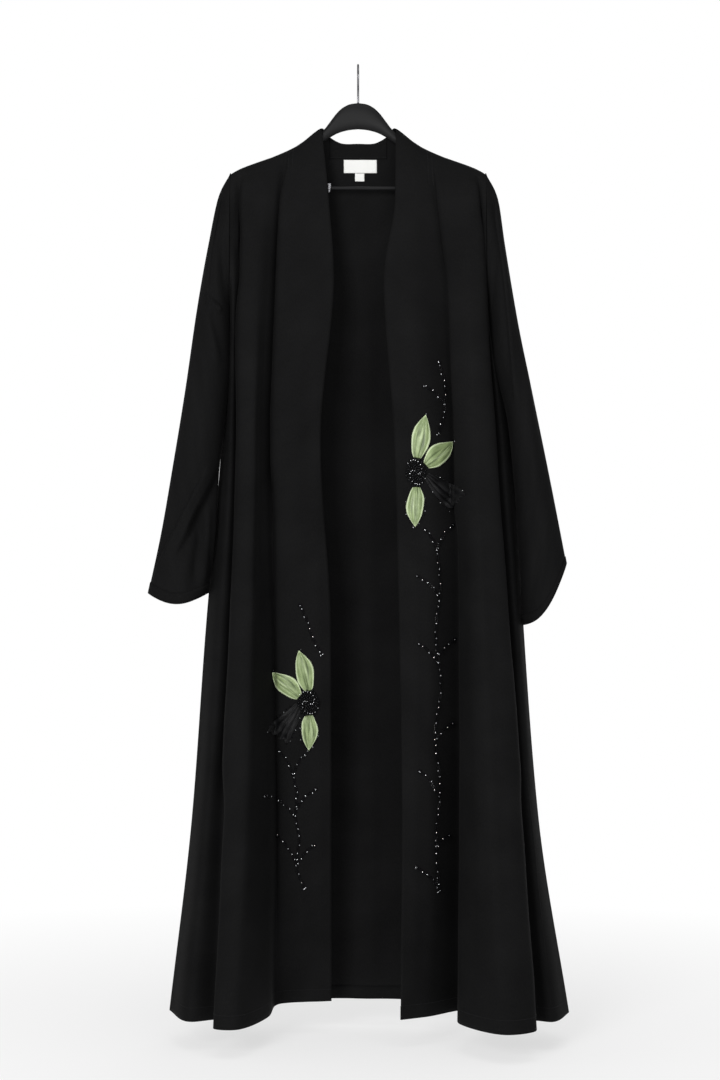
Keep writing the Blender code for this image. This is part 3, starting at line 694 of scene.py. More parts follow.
def line_distance(x, z, path):
    """Distance to a path, positive on the +X side of a path that runs down, and length along it."""
    nearest = np.full(x.shape, np.inf)
    side = np.ones(x.shape)
    along = np.zeros(x.shape)
    covered = 0.0
    for (ax, az), (bx, bz) in zip(path, path[1:]):
        dx, dz = bx - ax, bz - az
        length = sqrt(dx * dx + dz * dz)
        t = np.clip(((x - ax) * dx + (z - az) * dz) / length**2, 0, 1)
        distance = np.hypot(x - ax - t * dx, z - az - t * dz)
        nearer = distance < nearest
        nearest = np.where(nearer, distance, nearest)
        side = np.where(nearer, np.sign(dx * (z - az) - dz * (x - ax)), side)
        along = np.where(nearer, covered + t * length, along)
        covered += length
    return nearest * side, along, covered


def press_creases(piece, grid, normals, weight):
    """Moves the grid along its normals by its creases, and slides lapped edges over."""
    x, z = grid[..., 0].copy(), grid[..., 2].copy()
    rise = np.zeros(x.shape)
    slide = np.zeros(x.shape)
    for crease in CREASES:
        if crease.piece != piece:
            continue
        away, along, length = line_distance(x, z, crease.path)
        fade = smooth_step(along / crease.fade) * smooth_step((length - along) / crease.fade) * weight
        if crease.kind in ("trough", "ridge"):
            way = 1 if crease.kind == "ridge" else -1
            rise += way * crease.depth * fade * bell(away, 0, crease.width)
            continue
        way = 1 if crease.kind == "right_over" else -1
        beyond = way * away
        over = smooth_step(beyond / crease.width + 0.5)
        tail = np.exp(-np.maximum(beyond, 0) / (6 * crease.width))
        under = bell(beyond, -1.5 * crease.width, 2 * crease.width)
        rise += crease.depth * fade * (LAP_RISE * over * tail - LAP_HOLLOW * under)
        slide -= way * crease.lap * fade * over * tail
    moved = grid + normals * rise[..., None]
    moved[..., 0] += slide
    return moved


def unevenness(x, z, phase):
    """A shallow long-waved drape, in millimetres, that keeps the cloth from looking machined."""
    long_wave = 0.9 * np.sin(x / 27 + z / 310 + phase) * np.sin(z / 150 + 1.7 * phase)
    short_wave = 0.45 * np.sin(x / 15 - z / 120 + 2.3 * phase) * np.sin(z / 61 + phase)
    cross_wave = 0.3 * np.sin(z / 33 + x / 45 + 0.8 * phase)
    return long_wave + short_wave + cross_wave


# ---------------------------------------------------------------- materials

def add_node(tree, kind, **settings):
    node = tree.nodes.new(kind)
    for name, value in settings.items():
        setattr(node, name, value)
    return node


def new_group(name, inputs, outputs):
    """A shader node group with float or vector inputs and its own input and output nodes."""
    group = bpy.data.node_groups.new(name, "ShaderNodeTree")
    for label, kind, value in inputs:
        socket = group.interface.new_socket(label, in_out="INPUT", socket_type=kind)
        if value is not None:
            socket.default_value = value
    for label, kind in outputs:
        group.interface.new_socket(label, in_out="OUTPUT", socket_type=kind)
    return group, group.nodes.new("NodeGroupInput"), group.nodes.new("NodeGroupOutput")


def math_node(tree, operation, first, second=None, third=None):
    node = add_node(tree, "ShaderNodeMath", operation=operation)
    for slot, value in zip(node.inputs, (first, second, third)):
        if value is None:
            continue
        if isinstance(value, (int, float)):
            slot.default_value = value
        else:
            tree.links.new(value, slot)
    return node.outputs[0]


def scaled(tree, vector, by):
    node = add_node(tree, "ShaderNodeVectorMath", operation="MULTIPLY")
    tree.links.new(vector, node.inputs[0])
    node.inputs[1].default_value = by
    return node.outputs[0]


def noise(tree, vector, scale, detail=2.0, roughness=0.5):
    node = add_node(tree, "ShaderNodeTexNoise")
    tree.links.new(vector, node.inputs["Vector"])
    node.inputs["Detail"].default_value = detail
    node.inputs["Roughness"].default_value = roughness
    if isinstance(scale, (int, float)):
        node.inputs["Scale"].default_value = scale
    else:
        tree.links.new(scale, node.inputs["Scale"])
    return node.outputs["Fac"]


def spread(tree, value, low, high):
    """Stretches a value from low..high to 0..1, clamped."""
    node = add_node(tree, "ShaderNodeMapRange")
    tree.links.new(value, node.inputs["Value"])
    node.inputs["From Min"].default_value = low
    node.inputs["From Max"].default_value = high
    return node.outputs["Result"]


def make_crepe_grain():
    """Crepe's twisted-yarn surface: fine irregular pebbles crossed by short slubs."""
    group, given, out = new_group(
        "crepe_grain",
        (("Vector", "NodeSocketVector", None), ("Grains per metre", "NodeSocketFloat", 1500.0)),
        (("Height", "NodeSocketFloat"), ("Fleck", "NodeSocketFloat")),
    )
    pebbles = noise(group, given.outputs["Vector"], given.outputs["Grains per metre"], 1.0)
    slub_vector = scaled(group, given.outputs["Vector"], (1.0, 0.32, 1.0))
    slubs_per_metre = math_node(group, "MULTIPLY", given.outputs["Grains per metre"], 0.55)
    slubs = noise(group, slub_vector, slubs_per_metre, 1.0)
    height = math_node(group, "MULTIPLY_ADD", slubs, 0.4, math_node(group, "MULTIPLY", pebbles, 0.6))
    group.links.new(height, out.inputs["Height"])
    group.links.new(spread(group, height, 0.42, 0.62), out.inputs["Fleck"])
    return group


def make_cloth_mottle():
    """Broad, faint patches where the cloth has been handled and pressed."""
    group, given, out = new_group(
        "cloth_mottle",
        (("Vector", "NodeSocketVector", None), ("Patches per metre", "NodeSocketFloat", 9.0)),
        (("Patch", "NodeSocketFloat"),),
    )
    patches = noise(group, given.outputs["Vector"], given.outputs["Patches per metre"], 3.0, 0.55)
    group.links.new(spread(group, patches, 0.3, 0.7), out.inputs["Patch"])
    return group


def make_thread_lines():
    """Fine parallel threads along V, broken a little by the cross threads."""
    group, given, out = new_group(
        "thread_lines",
        (("Vector", "NodeSocketVector", None), ("Threads per metre", "NodeSocketFloat", 1400.0),
         ("Cross share", "NodeSocketFloat", 0.4)),
        (("Height", "NodeSocketFloat"),),
    )
    parts = add_node(group, "ShaderNodeSeparateXYZ")
    group.links.new(given.outputs["Vector"], parts.inputs[0])
    turns = math_node(group, "MULTIPLY", given.outputs["Threads per metre"], 2 * pi)
    along = math_node(group, "SINE", math_node(group, "MULTIPLY", parts.outputs["X"], turns))
    across = math_node(group, "SINE", math_node(group, "MULTIPLY", parts.outputs["Y"], turns))
    woven = math_node(group, "MULTIPLY_ADD", across, given.outputs["Cross share"], along)
    group.links.new(math_node(group, "MULTIPLY_ADD", woven, 0.35, 0.5), out.inputs["Height"])
    return group


def make_scuffs():
    """Sparse fine scratches and rubbed spots for moulded and metal parts."""
    group, given, out = new_group(
        "scuffs",
        (("Vector", "NodeSocketVector", None), ("Amount", "NodeSocketFloat", 0.5)),
        (("Mask", "NodeSocketFloat"), ("Height", "NodeSocketFloat")),
    )
    streaks = noise(group, scaled(group, given.outputs["Vector"], (60.0, 900.0, 420.0)), 1.0, 2.0)
    spots = noise(group, given.outputs["Vector"], 160.0, 3.0, 0.6)
    streaks, spots = spread(group, streaks, 0.62, 0.75), spread(group, spots, 0.45, 0.65)
    rubbed = math_node(group, "MULTIPLY", streaks, spots)
    group.links.new(math_node(group, "MULTIPLY", rubbed, given.outputs["Amount"]), out.inputs["Mask"])
    group.links.new(noise(group, given.outputs["Vector"], 2600.0, 2.0), out.inputs["Height"])
    return group


def place_group(tree, name, vector, **values):
    node = add_node(tree, "ShaderNodeGroup", node_tree=groups[name])
    tree.links.new(vector, node.inputs["Vector"])
    for label, value in values.items():
        node.inputs[label.replace("_", " ")].default_value = value
    return node.outputs


def start_material(name, **sockets):
    """A material with its shader's constant sockets set, and its cloth and object coordinates."""
    material = bpy.data.materials.new(name)
    material.use_nodes = True
    tree = material.node_tree
    for label, value in sockets.items():
        tree.nodes["Principled BSDF"].inputs[label.replace("_", " ")].default_value = value
    coordinates = add_node(tree, "ShaderNodeTexCoord").outputs
    return material, tree, coordinates["UV"], coordinates["Object"]


def mixed(tree, factor, low, high):
    """A colour between low and high, each a colour or another node's output."""
    mix = add_node(tree, "ShaderNodeMix", data_type="RGBA")
    colour_sockets = [socket for socket in mix.inputs if socket.type == "RGBA"]
    tree.links.new(factor, mix.inputs["Factor"])
    for socket, colour in zip(colour_sockets, (low, high)):
        if isinstance(colour, tuple):
            socket.default_value = (*colour, 1)
        else:
            tree.links.new(colour, socket)
    return next(socket for socket in mix.outputs if socket.type == "RGBA")


def finish_material(material, look, tone, worn, height=None):
    """Colour by tone and by the mesh's own masks, roughness by wear, and bump by height."""
    tree = material.node_tree
    shader = tree.nodes["Principled BSDF"].inputs
    colour = mixed(tree, tone, look.dark, look.light)
    # On the petals these overlays are painted shade and painted highlights, laid into the colour.
    for mask, over in look.overlays:
        place = add_node(tree, "ShaderNodeAttribute", attribute_name=mask)
        colour = mixed(tree, place.outputs["Fac"], colour, over)
    tree.links.new(colour, shader["Base Color"])
    roughness = add_node(tree, "ShaderNodeMapRange")
    tree.links.new(worn, roughness.inputs["Value"])
    roughness.inputs["To Min"].default_value, roughness.inputs["To Max"].default_value = look.roughness
    tree.links.new(roughness.outputs["Result"], shader["Roughness"])
    if height is not None:
        bump = add_node(tree, "ShaderNodeBump")
        bump.inputs["Distance"].default_value, bump.inputs["Strength"].default_value = look.bump
        tree.links.new(height, bump.inputs["Height"])
        tree.links.new(bump.outputs["Normal"], shader["Normal"])
    return material


def weighed(tree, first, first_share, second, second_share):
    """The sum of two values by their shares."""
    part = math_node(tree, "MULTIPLY", first, first_share)
    return math_node(tree, "MULTIPLY_ADD", second, second_share, part)


def make_crepe(name):
    material, tree, cloth, _ = start_material(
        name, Specular_IOR_Level=0.025, Sheen_Weight=0.009, Sheen_Roughness=0.35
    )
    grain = place_group(tree, "crepe_grain", cloth, Grains_per_metre=1500.0)
    mottle = place_group(tree, "cloth_mottle", cloth)
    tone = weighed(tree, grain["Fleck"], 0.55, mottle["Patch"], 0.45)
    return finish_material(material, LOOKS[name], tone, grain["Fleck"], grain["Height"])


def make_satin(name):
    material, tree, cloth, _ = start_material(
        name, Specular_IOR_Level=0.5, Sheen_Weight=0.12, Sheen_Roughness=0.3, Anisotropic=0.5
    )
    threads = place_group(tree, "thread_lines", cloth, Threads_per_metre=1900.0)
    mottle = place_group(tree, "cloth_mottle", cloth, Patches_per_metre=70.0)
    tone = weighed(tree, mottle["Patch"], 0.75, threads["Height"], 0.25)
    return finish_material(material, LOOKS[name], tone, mottle["Patch"], threads["Height"])


def make_organza(name):
    material, tree, cloth, _ = start_material(
        name, Specular_IOR_Level=0.12, Sheen_Weight=0.02, Sheen_Roughness=0.25
    )
    threads = place_group(tree, "thread_lines", cloth, Threads_per_metre=1100.0, Cross_share=1.0)
    mottle = place_group(tree, "cloth_mottle", cloth, Patches_per_metre=90.0)
    return finish_material(material, LOOKS[name], mottle["Patch"], threads["Height"], threads["Height"])


def make_tape(name):
    material, tree, cloth, _ = start_material(name, Specular_IOR_Level=0.25, Sheen_Weight=0.2)
    threads = place_group(tree, "thread_lines", cloth, Threads_per_metre=1600.0, Cross_share=0.8)
    return finish_material(material, LOOKS[name], threads["Height"], threads["Height"], threads["Height"])


def make_thread(name):
    material, tree, _, place = start_material(name, Specular_IOR_Level=0.1, Sheen_Weight=0.03)
    twist = noise(tree, place, THREAD_TWISTS_PER_METRE, 1.0)
    return finish_material(material, LOOKS[name], twist, twist)


def make_beads(name, metallic):
    """Cut glass: each bead a little different, as the noise is finer than the beads' spacing."""
    material, tree, _, place = start_material(name, Metallic=metallic, Specular_IOR_Level=0.14)
    tone = spread(tree, noise(tree, place, BEADS_PER_METRE, 1.0), 0.35, 0.65)
    return finish_material(material, LOOKS[name], tone, tone)


def make_plastic(name):
    material, tree, _, place = start_material(name, Specular_IOR_Level=0.12)
    scuffs = place_group(tree, "scuffs", place, Amount=0.5)
    mottle = place_group(tree, "cloth_mottle", place, Patches_per_metre=24.0)
    tone = math_node(tree, "MULTIPLY_ADD", mottle["Patch"], 0.35, scuffs["Mask"])
    return finish_material(material, LOOKS[name], tone, tone, scuffs["Height"])


def make_steel(name):
    material, tree, _, place = start_material(name, Metallic=1.0)
    scuffs = place_group(tree, "scuffs", place, Amount=0.8)
    return finish_material(material, LOOKS[name], scuffs["Mask"], scuffs["Mask"], scuffs["Height"])


# ---------------------------------------------------------------- meshes

def grid_faces(rows, columns, ring, flip):
    """Quads of a grid. Without flip they face along across x down."""
    steps = columns if ring else columns - 1
    r, c = np.meshgrid(np.arange(rows - 1), np.arange(steps), indexing="ij")
    r, c = r.ravel() * columns, c.ravel()
    beside = (c + 1) % columns
    quads = np.stack([r + c, r + beside, r + columns + beside, r + columns + c], axis=1)
    return quads[:, ::-1] if flip else quads


def surface_mesh(name, grid, material, ring=False, flip=False):
    """A smooth mesh on a grid in millimetres, with a UV map in metres of cloth."""
    rows, columns = grid.shape[:2]
    quads = grid_faces(rows, columns, ring, flip)
    mesh = bpy.data.meshes.new(name)
    mesh.from_pydata((grid.reshape(-1, 3) * MM).tolist(), [], quads.tolist())
    closed = np.concatenate([grid, grid[:, :1]], axis=1) if ring else grid
    u, v = lengths_across(closed), lengths_down(closed)
    c = quads % columns
    r = quads // columns
    if ring:
        wraps = (c.max(axis=1) - c.min(axis=1)) > 1
        c = np.where(wraps[:, None] & (c == 0), columns, c)
    layer = mesh.uv_layers.new(name="cloth")
    uv = np.stack([u[r, c], v[r, c]], axis=-1) * MM
    layer.data.foreach_set("uv", uv.astype(np.float32).ravel())
    mesh.shade_smooth()
    mesh.materials.append(material)
    mesh.update()
    obj = bpy.data.objects.new(name, mesh)
    cloak.objects.link(obj)
    return obj


def add_mask(obj, name, values):
    layer = obj.data.attributes.new(name, "FLOAT", "POINT")
    layer.data.foreach_set("value", np.clip(values, 0, 1).astype(np.float32).ravel())


def thicken(obj, wall, offset=1.0):
    solidify = obj.modifiers.new("wall", "SOLIDIFY")
    solidify.thickness = wall * MM
    solidify.offset = offset
    return obj


def close_ends(obj):
    """Caps the open ends of a tube."""
    bm = bmesh.new()
    bm.from_mesh(obj.data)
    bmesh.ops.holes_fill(bm, edges=[edge for edge in bm.edges if edge.is_boundary], sides=0)
    bmesh.ops.recalc_face_normals(bm, faces=bm.faces)
    bm.to_mesh(obj.data)
    bm.free()


def finish_piece(obj, slot, replaces=()):
    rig.ride(obj, "root")
    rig.slot(obj, slot)
    if replaces:
        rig.replaces(obj, *replaces)
    return obj


Surface = namedtuple("Surface", "inner outer normals tree ring flip")


def ground_tree(outer, ring):
    rows, columns = outer.shape[:2]
    faces = grid_faces(rows, columns, ring, False)
    return BVHTree.FromPolygons(outer.reshape(-1, 3).tolist(), faces.tolist())


def lay_cloth(name, form, normals, dip, ring=False, flip=False):
    """The cloth of one panel on its form: a thin wall, and its faces for whatever lies on it."""
    inner = form + normals * (INSET * dip)[..., None]
    settled = grid_normals(inner, ring)
    if flip:
        settled = -settled
    outer = inner + settled * CLOTH_WALL
    obj = surface_mesh("cloth_" + name, inner, finishes["black_crepe"], ring, flip)
    thicken(obj, CLOTH_WALL)
    finish_piece(obj, "black_crepe", (name,))
    surfaces[name] = Surface(inner, outer, settled, ground_tree(outer, ring), ring, flip)
    return obj


def make_panel(name, folds, back, seam_sides, phase, flip):
    """A front or the back: folds, creases and a little unevenness, calmed towards its seams."""
    lines = [fold_line(fold, fine_heights(fold, back), back) for fold in folds]
    form = spline_across(lines)
    way = 1 if back else -1
    high = form[..., 2] > UNDERARM_Z
    form[..., 1] = np.where(high, way * np.maximum(way * form[..., 1], SEAM_GAP / 2), form[..., 1])
    normals = grid_normals(form) * (-1 if flip else 1)
    across, down = lengths_across(form), lengths_down(form)
    to_seam = down
    if "first" in seam_sides:
        to_seam = np.minimum(to_seam, across)
    if "last" in seam_sides:
        to_seam = np.minimum(to_seam, across[:, -1:] - across)
    calm = smooth_step(to_seam / PANEL_CALM)
    shaped = press_creases(name, form, normals, calm)
    shaped += normals * (unevenness(form[..., 0], form[..., 2], phase) * calm)[..., None]
    return lay_cloth(name, shaped, normals, smooth_step(to_seam / SEAM_DIP), flip=flip)


def slant_fold_depth(x, z):
    """How far the left sleeve's front is set back, on the body's side of its slanting fold."""
    (ax, az), (bx, bz) = SLANT_FOLD_LEFT["from"], SLANT_FOLD_LEFT["to"]
    dx, dz = bx - ax, bz - az
    length = sqrt(dx * dx + dz * dz)
    along = ((x - ax) * dx + (z - az) * dz) / length**2
    beyond = ((x - ax) * -dz + (z - az) * dx) / length
    fade = smooth_step((along + 0.25) / 0.3) * smooth_step((1.1 - along) / 0.6)
    return SLANT_FOLD_LEFT["depth"] * fade * smooth_step(beyond / SLANT_FOLD_LEFT["width"] + 0.5)


def make_sleeve(name, rings, phase, slant, flip):
    """A sleeve as a tube of rings from the armhole to the open cuff."""
    at = np.linspace(0, len(rings) - 1, ROWS_PER_RING * (len(rings) - 1) + 1)
    table = {
        column: smooth_curve([(i, getattr(ring, column)) for i, ring in enumerate(rings)], at)[:, None]
        for column in Ring._fields[1:]
    }
    turn = (2 * pi * np.arange(SLEEVE_COLUMNS) / SLEEVE_COLUMNS)[None, :]
    along = (1 - np.cos(turn)) / 2
    x = table["outer_x"] + (table["inner_x"] - table["outer_x"]) * along
    z = table["outer_z"] + (table["inner_z"] - table["outer_z"]) * along
    z = z - table["lip"] * np.sin(pi * along)
    bulge = np.where(np.sin(turn) > 0, table["front"], table["back"]) * np.sin(turn)
    if slant:
        set_back = np.minimum(slant_fold_depth(x, z), 0.6 * bulge)
        bulge = np.where(np.sin(turn) > 0, bulge - set_back, bulge)
    form = np.stack([x, -bulge - table["shift"], z], axis=-1)
    normals = grid_normals(form, ring=True) * (-1 if flip else 1)
    down = lengths_down(form)
    calm = smooth_step(down / SLEEVE_CALM)
    front = smooth_step((np.sin(turn) - 0.1) / 0.6) * calm
    behind = smooth_step((-np.sin(turn) - 0.1) / 0.6) * calm
    shaped = press_creases(name + "_front", form, normals, front)
    shaped = press_creases(name + "_back", shaped, normals, behind)
    drape = unevenness(form[..., 0] * 1.4, form[..., 2] + form[..., 1], phase)
    shaped += normals * (drape * calm * abs(np.sin(turn)))[..., None]
    return lay_cloth(name, shaped, normals, smooth_step(down / SEAM_DIP), ring=True, flip=flip)


def make_turned_hem(name, surface_name, depth):
    """The hem's turn-up: a strip inside the lower edge, pressed against the cloth."""
    surface = surfaces[surface_name]
    down = lengths_down(surface.inner)
    rise = (down[-1:] - down).mean(axis=1)
    rows = np.flatnonzero(rise <= depth)
    strip = surface.inner[rows] - surface.normals[rows] * TURN_UP_GAP
    obj = surface_mesh(name, strip, finishes["black_crepe"], surface.ring, surface.flip)
    thicken(obj, TURN_UP_WALL, offset=-1.0)
    return finish_piece(obj, "black_crepe")


def unit(vectors):
    return vectors / np.maximum(np.linalg.norm(vectors, axis=-1, keepdims=True), 1e-9)


def frames_along(points, normals, pitch):
    """Places at an even pitch along a line, each with the line's direction and its normal."""
    along = lengths_along(points)
    count = max(int(along[-1] / pitch), 1)
    at = (np.arange(count) + 0.5) * along[-1] / count
    i = np.clip(np.searchsorted(along, at) - 1, 0, len(along) - 2)
    facing = unit(points_at(at, along, normals))
    return points_at(at, along, points), unit(points[i + 1] - points[i]), facing


def ball_template(subdivisions):
    bm = bmesh.new()
    bmesh.ops.create_icosphere(bm, subdivisions=subdivisions, radius=0.5)
    points = np.array([v.co[:] for v in bm.verts])
    faces = np.array([[v.index for v in face.verts] for face in bm.faces])
    bm.free()
    return points, faces


def stitch_template():
    """A stitch of length 1 along X, thicker in the middle, that dives at both ends."""
    points = []
    for x, radius, height in STITCH_SECTIONS:
        for k in range(STITCH_AROUND):
            turn = 2 * pi * k / STITCH_AROUND
            points.append((x, radius * cos(turn), height + radius * sin(turn)))
    return np.array(points), grid_faces(len(STITCH_SECTIONS), STITCH_AROUND, ring=True, flip=False)


def scatter(name, template, places, along, facing, sizes, finish, slot, smooth=True):
    """Many copies of a template joined in one mesh: X along, Z out of the cloth, in millimetres."""
    points, faces = template
    beside = unit(np.cross(facing, along))
    along = unit(np.cross(beside, facing))
    sizes = np.broadcast_to(np.asarray(sizes, float), (len(places), 3))
    local = points[None] * sizes[:, None, :]
    placed = (
        local[..., :1] * along[:, None]
        + local[..., 1:2] * beside[:, None]
        + local[..., 2:] * facing[:, None]
        + places[:, None]
    )
    every = faces[None] + (np.arange(len(places)) * len(points))[:, None, None]
    mesh = bpy.data.meshes.new(name)
    every = every.reshape(-1, faces.shape[1])
    mesh.from_pydata((placed.reshape(-1, 3) * MM).tolist(), [], every.tolist())
    if smooth:
        mesh.shade_smooth()
    mesh.materials.append(finishes[finish])
    obj = bpy.data.objects.new(name, mesh)
    cloak.objects.link(obj)
    return finish_piece(obj, slot)


def sew_stitches(name, frames, size, finish="black_thread", slot="black_crepe"):
    scatter(name, stitch_template(), *frames, size, finish, slot)


def make_stitch_rows():
    """Stitch lines along the hems and cuffs."""
    for name, depth in TURN_UPS:
        surface = surfaces[name]
        down = lengths_down(surface.outer)
        up = (down[-1:] - down).mean(axis=1)
        row = int(np.argmin(abs(up - depth + HEM_STITCH_INSET)))
        points, normals = surface.outer[row], surface.normals[row]
        if surface.ring:
            points, normals = np.vstack([points, points[:1]]), np.vstack([normals, normals[:1]])
        frames = frames_along(points, normals, HEM_STITCHES.pitch)
        sew_stitches(name + "_hem_stitches", frames, HEM_STITCHES.size)


def ground_at(panel, x, z):
    """The cloth's outer face in front of x, z, and which way it faces."""
    tree = surfaces[panel].tree
    place, normal, _, _ = tree.ray_cast(Vector((x, IN_FRONT, z)), BACKWARDS)
    if place is None:
        place, normal, _, _ = tree.find_nearest(Vector((x, INSIDE, z)))
    if normal.y > 0:
        normal = -normal
    return np.array(place), np.array(normal)


def ground_depths(panel, x, z):
    """The y of the cloth's outer face at each x, z."""
    return np.vectorize(lambda at_x, at_z: ground_at(panel, at_x, at_z)[0][1])(x, z)


def high_ground(panel, x, z):
    """The ground for a bead at x, z: level with the cloth close by where that stands further out."""
    place, normal = ground_at(panel, x, z)
    beside = [ground_at(panel, x + side, z) for side in (-BEAD_BRIDGE, BEAD_BRIDGE)]
    nearest, its_normal = min(beside, key=lambda found: found[0][1])
    if BEAD_BRIDGE_DEPTHS[0] < place[1] - nearest[1] < BEAD_BRIDGE_DEPTHS[1]:
        return np.array([x, nearest[1] + 1, z]), its_normal
    return place, normal


def make_tuck_stitches():
    """The four stitch lines of the shoulder tucks, as one piece."""
    runs = []
    for (x0, z0), (x1, z1) in TUCK_LINES:
        panel = "front_left" if x0 < 0 else "front_right"
        shares = np.linspace(0, 1, TUCK_LINE_POINTS)
        line = [ground_at(panel, x0 + (x1 - x0) * s, z0 + (z1 - z0) * s) for s in shares]
        points, normals = np.array(line).transpose(1, 0, 2)
        runs.append(frames_along(points, normals, TUCK_STITCHES.pitch))
    frames = [np.vstack(column) for column in zip(*runs)]
    sew_stitches("shoulder_tuck_stitches", frames, TUCK_STITCHES.size)


# ---------------------------------------------------------------- neck pieces

def back_inside(x, z):
    """The y of the back's inner face at x, z, or of its nearest point where that is past its edge."""
    place, _, _, _ = inner_back_tree.ray_cast(Vector((x, INSIDE, z)), BACKWARDS)
    if place is not None:
        return place.y
    inner = surfaces["back"].inner
    apart = abs(inner[..., 0] - x) + abs(inner[..., 2] - z)
    return inner[np.unravel_index(np.argmin(apart), apart.shape)][1]


def make_sewn_piece(piece):
    """A flat piece sewn inside the back, its lower corners standing off a little."""
    grid = np.zeros((piece.rows, piece.columns, 3))
    for j, down in enumerate(np.arange(piece.rows) / (piece.rows - 1)):
        for i, across in enumerate(np.arange(piece.columns) / (piece.columns - 1)):
            x = piece.left + (piece.right - piece.left) * across
            top = top_line_z(x, True) - 1.0 if piece.top is None else piece.top
            z = top + (piece.bottom - top) * down
            lift = piece.curl * down**2 * (0.6 + 0.4 * cos(2 * pi * across))
            grid[j, i] = (x, back_inside(x, z) - piece.gap - lift, z)
    obj = surface_mesh("sewn_" + piece.name, grid, finishes[piece.finish], flip=True)
    thicken(obj, piece.wall)
    return finish_piece(obj, piece.finish, (piece.name,)), grid


def line_of_stitches(name, points, off, stitching, finish, slot):
    """Stitches along a line of a sewn piece, this far off its grid and facing the front."""
    normals = np.tile(np.array([0.0, -1.0, 0.0]), (len(points), 1))
    frames = frames_along(points + normals * off, normals, stitching.pitch)
    sew_stitches(name, frames, stitching.size, finish, slot)


def make_neck_pieces():
    facing, grid = make_sewn_piece(NECK_FACING)
    line_of_stitches("facing_stitches", grid[-2], 0.9, FACING_STITCHES, "black_thread", "black_crepe")
    label, grid = make_sewn_piece(NECK_LABEL)
    for end, column in (("left", 1), ("right", -2)):
        line = grid[1:-1, column]
        line_of_stitches(f"label_{end}_stitches", line, 0.75, LABEL_STITCHES, "pale_thread", "label_tape")
    tab, grid = make_sewn_piece(SIZE_TAB)
    return {"neck_facing": facing, "neck_label": label, "size_tab": tab}


# ---------------------------------------------------------------- flowers

def petal_ground(flower, petal, outline, steps, across):
    """The cloth under a petal, bridged over its valleys, with the petal's own s and t."""
    turn = radians(petal.turn)
    along_axis, across_axis = np.array((-sin(turn), cos(turn))), np.array((cos(turn), sin(turn)))
    s = np.linspace(0, 1, steps)[:, None] * np.ones((1, across))
    t = np.ones((steps, 1)) * np.linspace(-1, 1, across)[None]
    ragged = 1 + 0.07 * np.sin(6.5 * s + 2.1 * petal.seed + 1.3 * np.sign(t)) * smooth_step(4 * s)
    half = petal.width / 2 * smooth_curve(outline, s) * ragged
    wander = 1.5 * np.sin(3.1 * s + petal.seed) * s
    reach = petal.length * s - ROOT_TUCK * (1 - s)
    x = flower.centre_x + petal.base_x + along_axis[0] * reach + across_axis[0] * (half * t + wander)
    z = flower.centre_z + petal.base_z + along_axis[1] * reach + across_axis[1] * (half * t + wander)
    y = ground_depths(flower.panel, x, z)
    bridged = y
    for _ in range(BRIDGE_PASSES):
        padded = np.pad(bridged, 1, mode="edge")
        blurred = (padded[:-2, 1:-1] + padded[2:, 1:-1] + padded[1:-1, :-2] + padded[1:-1, 2:]) / 4
        bridged = np.minimum(y, blurred)
    return x, bridged, z, s, t


def sew_petal(flower, petal, x, y, z, lift, wall, **masks):
    """A petal's mesh, raised off its ground by `lift`, with the painted shade and painted highlight masks that its
    finish uses.
    """
    name = f"{flower.side}_petal_{petal.name}"
    grid = np.stack([x, y - np.maximum(PETAL_REST + lift, PETAL_LEAST_LIFT), z], axis=-1)
    prefix = petal.cloth.split("_")[1]
    obj = surface_mesh(f"{prefix}_{name}", grid, finishes[petal.cloth], flip=True)
    for mask, values in masks.items():
        add_mask(obj, mask, values)
    thicken(obj, wall)
    return finish_piece(obj, petal.cloth, (name,))


def make_satin_petal(flower, petal):
    """A padded leaf of satin: turned edge, long creases, pinched at its root, tip folded, with painted shade in its
    creases and painted highlights on its edge.
    """
    x, y, z, s, t = petal_ground(flower, petal, PETAL_OUTLINE, 46, 30)
    k = petal.seed
    body = petal.cup * (0.34 + 0.66 * np.sin(pi * np.clip(s * 0.9 + 0.05, 0, 1))) * (1 - 0.8 * t**4)
    rim = 0.9 * bell(np.abs(t), 0.9, 0.075) + 0.7 * bell(s, 0.95, 0.04)
    channel = -0.9 * bell(np.abs(t), 0.74, 0.07) * smooth_step(s * 5) * smooth_step((1 - s) * 5)
    # The crease mask is painted shade: darker along each long crease, at the gathered root and in scattered hollows.
    creases, shade = 0.0, 0.0
    for n, crease in enumerate(PETAL_CREASES):
        bend = 0.16 * np.sin(2.4 * s + 1.9 * n + k)
        starts = smooth_step((s - crease.start + 0.08) / 0.16)
        ends = smooth_step((crease.end - s + 0.08) / 0.16)
        line = starts * ends * bell(t, crease.place + bend, crease.width)
        creases = creases - crease.depth * line
        shade = shade + 0.85 * line
    root = 0.5 * np.cos(t * 11 + k) * smooth_step((0.3 - s) / 0.3)
    crumple = 0.35 * np.sin(9 * s + 4 * t + 2 * k) * np.sin(5 * t + k)
    lift = body + rim + channel + (creases + crumple) * (1 - 0.4 * t * t) + root
    # The rim mask is a painted highlight: lighter along the turned edge and the tip, plus a painted glint down the
    # petal.
    edge = smooth_step((np.abs(t) - 0.8) / 0.08) + smooth_step((s - 0.94) / 0.03)
    painted_gather_shade = 0.5 * smooth_step((0.2 - s) / 0.2) * (0.5 + 0.5 * np.cos(t * 11 + k))
    painted_hollow_shade = 0.4 * np.sin(5 * t + 3 * s + k) * np.sin(6 * s + 1.3 * k)
    painted_glint = 0.4 * bell(t, 0.25 * np.sin(3 * s + k), 0.12) * np.sin(pi * s) ** 2
    return sew_petal(flower, petal, x, y, z, lift, SATIN_WALL,
                     rim=0.85 * edge + painted_glint, crease=shade + painted_gather_shade + painted_hollow_shade)


